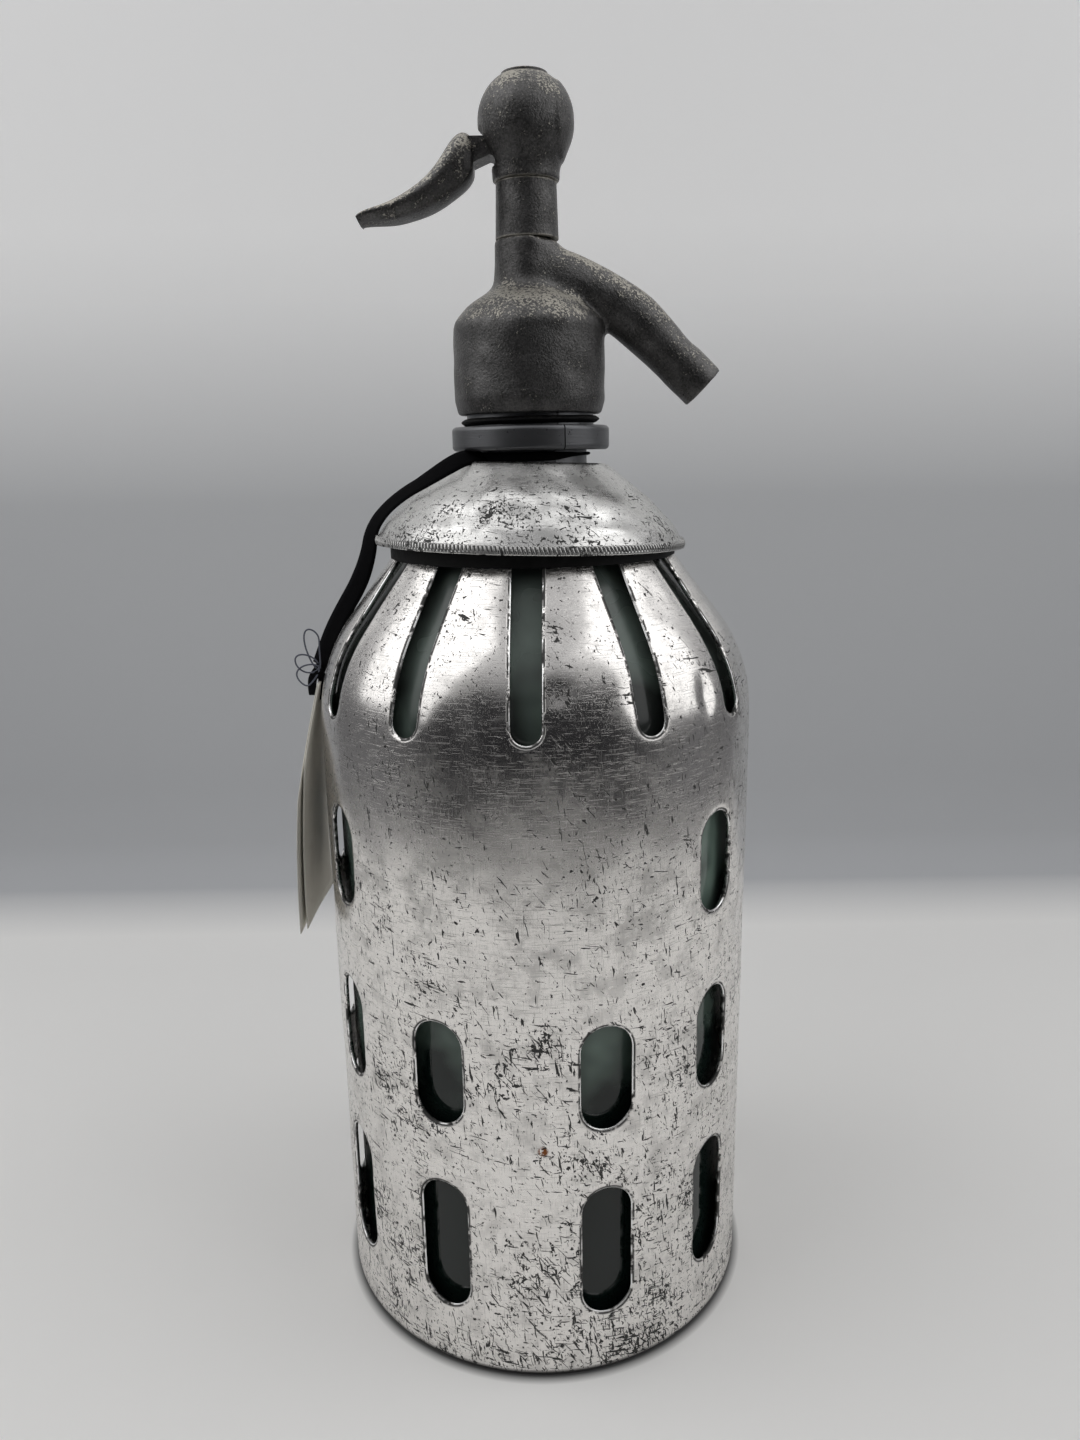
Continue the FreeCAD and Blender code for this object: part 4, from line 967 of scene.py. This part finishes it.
head_x, head_y, head_z = head_points.T
radius_out = np.hypot(head_x, head_y)
past_bore = radius_out > bore_clear
spout_side = np.clip((head_x - 1.0) / 3.0, 0, 1) * (abs(head_z - spout_axis_z) < spout_reach)
near_seam = np.exp(-((radius_out - seam_radius) / seam_width) ** 2) * past_bore * spout_side
flare = np.exp(-((head_z - flare_z) / flare_width) ** 2) * past_bore * (radius_out < flare_reach)
weight = np.clip(np.maximum(near_seam, flare), 0, 1)[:, None]
head_points = (relaxed(head_points, head_edges, 2) * (1 - weight)
               + relaxed(head_points, head_edges, 40) * weight)
azimuth = np.arctan2(head_points[:, 0], -head_points[:, 1])
wander = ripple(azimuth * 12, head_points[:, 2], 8, 14, 22.0, 4.0, wander_height)
wander = wander * np.clip((radius_out - 7.0) / 2.0, 0, 1)
outward = unit(head_points * [1.0, 1.0, 0.0] + 1e-9)
head_casting = add_piece("head_casting", head_points + outward * wander[:, None], head_faces,
                         casting_metal)
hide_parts("head_body")

# %% [markdown]
# The ball at the top is a casting too, and its side cover stands a hair proud with a worn edge.
# The two solids touch, so one voxel remesh of both copies joins them, and relaxing turns the step
# between them into a soft ridge.

# %% Lever housing with its side cover
ball_middle, inner_radius = (0.0, 0.0, 306.7), 9.0
ball_points, ball_faces, ball_edges = merged_copy(("lever_housing", "side_plug"), 0.4)
reach = np.linalg.norm(ball_points - ball_middle, axis=1)
out_there = np.clip((reach - inner_radius) / 1.5, 0, 1)[:, None]
ball_points = ball_points * (1 - out_there) + relaxed(ball_points, ball_edges, 4) * out_there
ball_casting = add_piece("ball_casting", ball_points, ball_faces, casting_metal)
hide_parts("lever_housing", "side_plug")

# %% [markdown]
# Under the skirt the last turn of the head's thread shows as a dark ridge round the collar's
# sleeve, in a near-black copy of the casting that is painted shade for the gap under the skirt. Its
# radius swells once over its height, and it climbs by a thread's pitch in a turn. It overlaps
# itself a little and fades out at both ends.

# %% Thread turn under the skirt
sleeve_radius, ridge_z, thread_pitch, thread_start = 16.05, 238.45, 1.1, 3.0
overlap_before, overlap_after, fade_length, thread_points = 0.35, 0.5, 0.5, 200
ridge = np.array([[16.05, -0.9], [16.6, -0.75], [17.35, -0.2], [17.5, 0.05], [17.3, 0.35],
                  [16.6, 0.8], [16.05, 0.9]])
thread_turn = np.linspace(-overlap_before, 2 * np.pi + overlap_after, thread_points)
from_ends = np.minimum(thread_turn, thread_turn[::-1]) + overlap_before
fade = np.clip(from_ends / fade_length, 0.05, 1.0)
climb = thread_pitch * (thread_turn / (2 * np.pi) - 0.5)
ridge_radius = sleeve_radius + (ridge[:, :1] - sleeve_radius) * fade
ridge_height = ridge_z + ridge[:, 1:] * (0.4 + 0.6 * fade) + climb
ridge_points = turned(ridge_radius, thread_turn + thread_start, ridge_height)
ridge_faces = grid_faces(len(ridge), thread_points, loop_rows=True)
thread_ridge = add_piece("thread_ridge", ridge_points, facing_out(ridge_points, ridge_faces),
                         casting_in_painted_shade)

# %% [markdown]
# ## Ribbon and tag
# A limp black ribbon is tied round the neck under the collar. It runs down over the dome, off its
# rim, and ends in a knot that holds a folded card. Its middle line is one NURBS curve through
# loose control points. The ribbon is then a flat band swept along that line. Its face lies on the
# dome while it touches it, and turns to the front where it hangs free.

# %% The ribbon's middle line
ribbon_route = (
    (-11.6, -9.8, 230.15), (-15.6, -13.2, 230.15), (-20.0, -14.6, 228.0), (-25.9, -13.2, 224.6),
    (-32.6, -9.2, 220.9), (-37.5, -5.8, 217.1), (-41.2, -3.8, 212.4), (-42.6, -2.6, 205.6),
    (-45.6, -1.6, 198.4), (-50.4, -1.0, 191.0), (-54.4, -1.0, 183.8), (-57.2, -1.0, 176.6),
)


def nurbs_line(points, resolution=14):
    """Points along an open NURBS curve of order 3 that starts and ends at its end points."""
    data = bpy.data.curves.new("line", "CURVE")
    data.dimensions, data.resolution_u = "3D", resolution
    spline = data.splines.new("NURBS")
    spline.points.add(len(points) - 1)
    for place, point in zip(points, spline.points):
        point.co = tuple(np.array(place) * MM) + (1.0,)
    spline.order_u = 3
    spline.use_endpoint_u = True
    return final_mesh(data)[0]


ribbon_line = nurbs_line(ribbon_route)

# %% Ribbon cloth, grey thread and card
def ribbon_cloth():
    """Black ribbed weave: slanting ribs from a wave of the place, and frayed fibres."""
    made = Finish("ribbon_cloth", specular_ior_level=0.05, roughness=0.9)
    fray = made.noise(0.35, 3.0, 0.7)
    made.finish(base_color=made.blend(fray * 0.6, (0.003, 0.003, 0.004), (0.018, 0.018, 0.019)))
    ribs = made.node("ShaderNodeTexWave", {"bands_direction": "DIAGONAL"},
                     {"Vector": made.place, "Scale": 2.6, "Distortion": 1.5, "Detail": 1.0})
    made.bump(0.6 * ribs + 0.4 * fray, 0.12)
    return made.material


def thread_cloth():
    """Blue-grey cotton, mottled by the fibre."""
    made = Finish("grey_thread", specular_ior_level=0.2, roughness=0.9)
    made.finish(base_color=made.blend(made.noise(0.4), (0.10, 0.11, 0.14), (0.20, 0.21, 0.25)))
    made.bump(made.noise(0.2), 0.05)
    return made.material


def tag_paper():
    """Ivory card, a little grubbier in slow drifts, with a fibre grain."""
    made = Finish("tag_paper", specular_ior_level=0.3)
    grub = made.step(made.noise(9.0, 4.0, 0.6), 0.45, 0.75)
    fibre = made.noise(0.5, 4.0, 0.7)
    colour = made.blend(grub * 0.5, (0.86, 0.84, 0.77), (0.70, 0.67, 0.59))
    made.finish(base_color=made.blend(fibre * 0.12, colour, (0.50, 0.47, 0.42)),
                roughness=0.72 + 0.12 * fibre)
    made.bump(0.5 * fibre + 0.5 * grub, 0.08)
    return made.material


ribbon_black, thread_grey, card_ivory = ribbon_cloth(), thread_cloth(), tag_paper()
print("made", ribbon_black.name, thread_grey.name, card_ivory.name)

# %% Ribbon
ribbon_width, ribbon_thickness = 5.3, 0.4
facing_heights = (200.0, 213.0, 223.0, 229.5)
facing_ways = ((-0.40, -0.90, 0.05), (-0.48, -0.72, 0.50),
               (-0.46, -0.60, 0.64), (-0.36, -0.80, 0.48))


def band(line, facing, width, thickness):
    """Closed flat band along a line: across = along x facing, and eight points round a section."""
    along = unit(np.gradient(line, axis=0))
    across = unit(np.cross(along, facing))
    normal = np.cross(across, along)
    side = np.array([-1.0, -0.5, 0.0, 0.5, 1.0, 0.5, 0.0, -0.5]) * width / 2
    lift = np.array([0.0, 0.5, 0.5, 0.5, 0.0, -0.5, -0.5, -0.5]) * thickness
    points = line[:, None] + across[:, None] * side[:, None] + normal[:, None] * lift[:, None]
    last = (len(line) - 1) * len(side)
    ends = [(0, 1, 2, 3), (0, 3, 4, 7), (4, 5, 6, 7)]
    caps = [face for end in ends for face in (end, tuple(last + corner for corner in end[::-1]))]
    faces = grid_faces(len(line), len(side), loop_columns=True)
    return points, facing_out(points, np.concatenate([faces, np.array(caps)[:, ::-1]]))


def ribbon_facing(line):
    """Way that the ribbon's face looks, by height: hanging free, over the dome, at the neck."""
    ways = [np.interp(line[:, 2], facing_heights, way) for way in zip(*facing_ways)]
    return unit(np.stack(ways, axis=-1))


ribbon = band(ribbon_line, ribbon_facing(ribbon_line), ribbon_width, ribbon_thickness)
tag_ribbon = add_piece("neck_ribbon", *ribbon, ribbon_black)

# %% [markdown]
# The loop round the neck is the same ribbon, seen as a ring with a rounded section. It lies flat
# nearly all the way round. On the right it is bunched, so its section is squeezed to a third
# there, and two sines make it wander up and down.

# %% Loop round the neck
loop_z, loop_columns, bunch_azimuth, bunch_width = 229.85, 144, 75.0, 42.0
loop_turn = np.linspace(0, 2 * np.pi, loop_columns, endpoint=False)
loop_radius, loop_rise = np.array([[14.3, -1.05], [14.75, -1.1], [15.15, -0.6], [15.1, 0.1],
                                   [15.15, 0.7], [14.75, 1.1], [14.3, 1.0], [14.3, 0.0]]).T
wave = 0.10 * np.sin(5 * loop_turn) + 0.06 * np.sin(11 * loop_turn)
bunched = 1.0 - 0.68 * np.exp(-((np.degrees(loop_turn) - bunch_azimuth) / bunch_width) ** 4)
loop_height = loop_z + 0.75 * (1 - bunched) + loop_rise[:, None] * bunched + 0.6 * wave
neck_loop = add_piece("neck_loop", turned(loop_radius[:, None], loop_turn, loop_height),
                      grid_faces(len(loop_rise), loop_columns, loop_rows=True, loop_columns=True),
                      ribbon_black)

# %% [markdown]
# Knot and bow are tubes along closed lines. A few points give a smooth closed line by their
# Fourier series, because its waves meet themselves after one turn without a kink. The tails are
# short bands.

# %% Knot, tails and thread bow
knot_middle = np.array([-57.75, -1.0, 175.2])
tail_facing, tail_thickness, thread_radius = (-0.3, -0.95, 0.0), 0.4, 0.22
tails = (            # width, then the control points of its line
    (2.6, (-57.9, -1.4, 175.4), (-59.3, -2.2, 173.9), (-59.6, -3.0, 171.4), (-59.4, -2.9, 168.9)),
    (2.4, (-57.4, -0.8, 175.0), (-56.9, -1.7, 172.8), (-57.3, -1.6, 170.2), (-57.0, -2.0, 167.4)),
)
thread_loops = (
    ((-57.6, -2.2, 177.2), (-60.9, -3.1, 179.9), (-63.4, -3.5, 178.6), (-62.2, -3.2, 175.9),
     (-59.2, -2.6, 175.0)),
    ((-58.0, -2.6, 176.0), (-60.6, -3.4, 183.0), (-58.8, -3.2, 186.6), (-56.9, -2.8, 184.0),
     (-57.0, -2.4, 179.2)),
    ((-57.6, -2.8, 176.6), (-61.6, -3.6, 176.8), (-62.9, -3.9, 173.6), (-60.7, -3.5, 171.6),
     (-58.6, -3.0, 173.4)),
)


def round_cord(line, radius, sides=8):
    """Closed tube: a circle of a radius across the line at each of its points; ends pinched."""
    along = unit(np.gradient(line, axis=0))
    upright = np.where(abs(along[:, 1:2]) < 0.9, [[0.0, 1.0, 0.0]], [[1.0, 0.0, 0.0]])
    first = unit(np.cross(along, upright))
    second = np.cross(along, first)
    turn = np.linspace(0, 2 * np.pi, sides, endpoint=False)[:, None]
    ring = np.cos(turn) * first[:, None] + np.sin(turn) * second[:, None]
    from_end = np.minimum(np.arange(len(line)), np.arange(len(line))[::-1])
    pinched = radius * np.minimum(1.0, from_end * 0.9 + 0.02)
    points = line[:, None] + ring * pinched[:, None, None]
    return points, facing_out(points, grid_faces(len(line), sides, loop_columns=True))


def closed_through(points, count):
    """Smooth loop through a few points by trigonometric interpolation (their Fourier series)."""
    waves = np.fft.rfft(points, axis=0)
    padded = np.zeros((count // 2 + 1, 3), complex)
    padded[:len(waves)] = waves
    return np.fft.irfft(padded, count, axis=0) * count / len(points)


def joined(parts):
    """Several pairs of points and faces as one pair."""
    points = [np.asarray(part_points).reshape(-1, 3) for part_points, _ in parts]
    starts = np.cumsum([0] + [len(part) for part in points])
    faces = [part_faces + start for (_, part_faces), start in zip(parts, starts)]
    return np.concatenate(points), np.concatenate(faces)


turn = np.linspace(0, 2 * np.pi, 60)
wraps = [np.stack([1.15 * np.cos(turn), 1.35 * np.sin(turn), 0.5 * np.sin(turn + 0.6)], axis=-1),
         np.stack([0.7 * np.cos(turn), 1.0 * np.sin(turn + 0.5), 1.25 * np.sin(turn)], axis=-1)]
knot_parts = [round_cord(knot_middle + wrap, radius) for wrap, radius in zip(wraps, (0.75, 0.8))]
knot_parts += [band(nurbs_line(points, 8), unit(np.array([tail_facing])), width, tail_thickness)
               for width, *points in tails]
ribbon_knot = add_piece("ribbon_knot", *joined(knot_parts), ribbon_black)
thread_parts = [round_cord(closed_through(loop, 90), thread_radius, 6) for loop in thread_loops]
thread_bow = add_piece("thread_bow", *joined(thread_parts), thread_grey)

# %% [markdown]
# The card hangs from the knot, folded, with its two leaves a little apart. Each leaf is a grid in
# height and width that leans, curls and warps as functions of the height. A copy of the grid
# behind it, and a rim between their borders, give it its thickness.

# %% The folded card
card_x, card_y, card_top, card_length, head_half_width = -57.6, -1.0, 172.4, 65.0, 3.5
half_thickness = 0.12
card_leaves = (      # lean, curl, gap to the middle, phase of the warp, shoulder, half width
    (6.2, 0.2, -0.05, 0.3, 28.0, 18.5),
    (5.4, -1.3, 0.30, 1.7, 19.0, 15.5),
)


def card_leaf(lean, curl, gap, phase, shoulder, half_width):
    """A leaf of the tag: x = lean and curl of height, plus a slow warp; y and z follow its outline.

    Its width is 3.5 mm to a side at the head and full at the shoulder. With t from 0 at the head
    to 1 at the foot it leans out by lean (1 - (1 - t)^2), so it bends away and then hangs straight.
    """
    below = np.linspace(shoulder, card_length, 20)[1:]
    down = np.concatenate([np.linspace(0, shoulder, 18), below])[:, None]
    side = np.linspace(-1, 1, 25)[None]
    half = np.interp(down, [0, shoulder, card_length], [head_half_width, half_width, half_width])
    y = side * half + card_y
    share = down / card_length
    warp = 0.30 * np.sin(y / 9.0 + phase) * share + curl * share ** 2 * (0.6 + 0.4 * side)
    x = card_x + gap - lean * (1 - (1 - share) ** 2) - warp
    return np.stack([x, y, card_top - down + 0 * side], axis=-1)


def thick(leaf):
    """The leaf and a copy of it side by side, and quads over both and over the rim between."""
    rows, columns = leaf.shape[:2]
    points = np.stack([leaf + [half_thickness, 0, 0], leaf - [half_thickness, 0, 0]]).reshape(-1, 3)
    top = grid_faces(rows, columns)
    border = block_border(columns, (0, rows - 1), (0, columns - 1))
    ahead, count = np.roll(border, -1), rows * columns
    rim = np.stack([border, ahead, ahead + count, border + count], axis=-1)
    return points, facing_out(points, np.concatenate([top, top[:, ::-1] + count, rim[:, ::-1]]))


leaves = joined([thick(card_leaf(*shape)) for shape in card_leaves])
folded_card = add_piece("folded_card", *leaves, card_ivory)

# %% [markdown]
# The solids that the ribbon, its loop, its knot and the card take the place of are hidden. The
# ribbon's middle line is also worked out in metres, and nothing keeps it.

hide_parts("tag_ribbon")
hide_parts("ribbon_loop")
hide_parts("tag_knot")
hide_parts("paper_tag")
[tuple(point * MM) for point in ribbon_line]

# %% [markdown]
# ## Valve spring
# The spring stands on the valve's nut and pushes down from the cap. Pressing the lever lifts the
# nut, so in the siphon the foot of the spring goes with the valve while its head stays put, and
# the turns between close up. The coil here is made at rest and is attached to no body.

# %% Valve spring
spring_low, spring_high = np.array(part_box("valve_spring")) / MM
spring_wire, spring_turns, turn_points = 0.35, 4, 36
spring_radius = (spring_high[0] - spring_low[0]) / 2 - spring_wire
winding = np.linspace(0, 2 * np.pi * spring_turns, turn_points * spring_turns + 1)
rise = np.linspace(spring_low[2] + spring_wire, spring_high[2] - spring_wire, len(winding))
spring_line = np.stack([spring_radius * np.cos(winding), spring_radius * np.sin(winding), rise], -1)
valve_spring = add_piece("coil_spring", *round_cord(spring_line, spring_wire),
                         finish_of["spring_steel"], body=None)
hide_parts("valve_spring")
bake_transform(valve_spring)
print("spring radius %.2f mm, from %.2f to %.2f mm high"
      % (spring_radius, spring_low[2], spring_high[2]))

# %% [markdown]
# ## Stage, lamps and world
# The siphon stands on a pale round-fronted table that curves up into a plain wall. The wall is
# painted paler with height, painted light falling from above, and the table has a painted shadow
# close round the foot. Lighting the wall brighter would also light the metal, so wall and table
# glow a little instead, and only for the camera and for reflections. The wall is clear from
# behind, so that a view from the back sees the siphon through it.

# %% Floor and wall
low_wall, high_wall, pale_wall = (0.385, 0.394, 0.408), (0.53, 0.54, 0.55), (0.96, 0.96, 0.96)
table_tone, shadow_tone = (0.76, 0.755, 0.74), (0.05, 0.05, 0.05)
low_glow, high_glow, table_glow = (0.060, 0.061, 0.064), (0.145, 0.145, 0.145), (0.05, 0.05, 0.05)
table_radius, wall_place, wall_height, cove, table_z = 402.0, 240.0, 900.0, 36.0, -0.05


def stage_finish():
    """Matt paint: a table with a painted shadow close round the foot, and a wall painted paler with
    height as painted light.
    """
    made = Finish("backdrop_paint", roughness=0.9, specular_ior_level=0.1, emission_strength=1.0)
    up = made.axis("Z")
    # Painted light: the wall's grey pales with height and turns nearly white high up, light falling
    # from above.
    wall_painted_light = made.blend(made.step(up, 10.0, 230.0), low_wall, high_wall)
    wall_painted_light = made.blend(made.step(up, 210.0, 330.0), wall_painted_light, pale_wall)
    # Painted shadow: the table darkens close round the foot, the siphon's shadow on it.
    painted_foot_shadow = made.step(made.distance_from((0.0, 0.0, 0.0)), 59.2, 56.6)
    table_grey = made.blend(0.85 * painted_foot_shadow, table_tone, shadow_tone)
    on_wall = made.step(up, 0.2, 14.0)
    camera_ray, glossy_ray = (made.node("ShaderNodeLightPath", out=kind)
                              for kind in ("Is Camera Ray", "Is Glossy Ray"))
    wall_glow = made.blend(made.step(up, 205.0, 300.0), low_glow, high_glow)
    glow = made.blend(on_wall, made.blend(painted_foot_shadow, table_glow, black), wall_glow)
    made.finish(base_color=made.blend(on_wall, table_grey, wall_painted_light),
                emission_color=made.blend(camera_ray.larger(glossy_ray), black, glow),
                alpha=1.0 - made.node("ShaderNodeNewGeometry", out="Backfacing"))
    return made.material


sweep = soft_profile([(0.0, table_z), (wall_place, table_z, cove), (wall_place, wall_height)], 30.0)
across = table_radius * np.sin(np.linspace(-np.pi / 2, np.pi / 2, 41))[None]
front_edge = -np.sqrt(np.maximum(table_radius ** 2 - across ** 2, 0.0))
near = np.linspace(1, 0, 12, endpoint=False)[:, None]
depth = np.concatenate([near * front_edge, sweep[:, :1] + 0 * across])
height = np.concatenate([table_z + 0 * near, sweep[:, 1:]])
backdrop_points = np.stack(np.broadcast_arrays(across, depth, height), axis=-1)
backdrop = add_piece("backdrop", backdrop_points, grid_faces(*depth.shape), stage_finish(),
                     body=None)

# %% [markdown]
# Two wide lamps stand high on the left and on the right, and a long one hangs overhead. Their
# size matters more than their power: polished metal mirrors a small lamp as a glaring spot, and a
# large one as a soft pale field.

# %% Lamps
lamps = (            # name, place, point aimed at, width, height, watts
    ("left_lamp", (-620, -150, 640), (0, 0, 150), 820, 900, 2.35),
    ("right_lamp", (680, -200, 600), (0, 0, 150), 780, 900, 2.1),
    ("ceiling_lamp", (0, 40, 1000), (0, 0, 100), 1500, 300, 1.2),
)


def add_lamp(name, place, aim, width, height, watts):
    """Rectangular soft light at a place, turned towards a point; lengths in millimetres."""
    data = bpy.data.lights.new(name, "AREA")
    data.shape, data.size, data.size_y, data.energy = "RECTANGLE", width * MM, height * MM, watts
    back_way = unit(np.array(place, float) - np.array(aim, float))
    overhead = back_way[2] > 0.99
    side = np.array([1.0, 0.0, 0.0]) if overhead else unit(np.cross([0.0, 0.0, 1.0], back_way))
    add_object(name, data).matrix_world = placed(place, side, np.cross(back_way, side), back_way)


for row in lamps:
    add_lamp(*row)
print("lamps:", [row[0] for row in lamps])

# %% [markdown]
# Polished metal shows the room more than itself, so the room is part of the finish. It is bright
# overhead and dim at the floor. Behind the camera, where whoever looks at the siphon stands, it
# is nearly black low down, and that fades out half way to the zenith. The upper front of the
# jacket reflects it as a dark band.

# %% Room
room_light = 0.8
floor_tone, ceiling_tone, viewer_tone = (0.15, 0.15, 0.156), (0.60, 0.60, 0.61), (0.02, 0.02, 0.022)
world = bpy.data.worlds.new("room")
bpy.context.scene.world = world
world.use_nodes = True
room = Sheet(world.node_tree)
way = room.node("ShaderNodeTexCoord", out="Generated")
side_way, front_way, up_way = (room.axis(letter, way) for letter in "XYZ")
low_front = room.step(front_way, -0.12, -0.55) * room.step(up_way, 0.74, 0.46)
middle = room.step(side_way.size(), 0.95, 0.50)
room_grey = room.blend(room.step(up_way, 0.02, 0.55), floor_tone, ceiling_tone)
room_grey = room.blend(low_front * (0.74 + 0.25 * middle), room_grey, viewer_tone)
background = world.node_tree.nodes["Background"]
room.plug(background.inputs["Color"], room_grey)
room.plug(background.inputs["Strength"], room_light)
bpy.context.scene.view_settings.view_transform = "Standard"
print("room of", len(world.node_tree.nodes), "nodes")
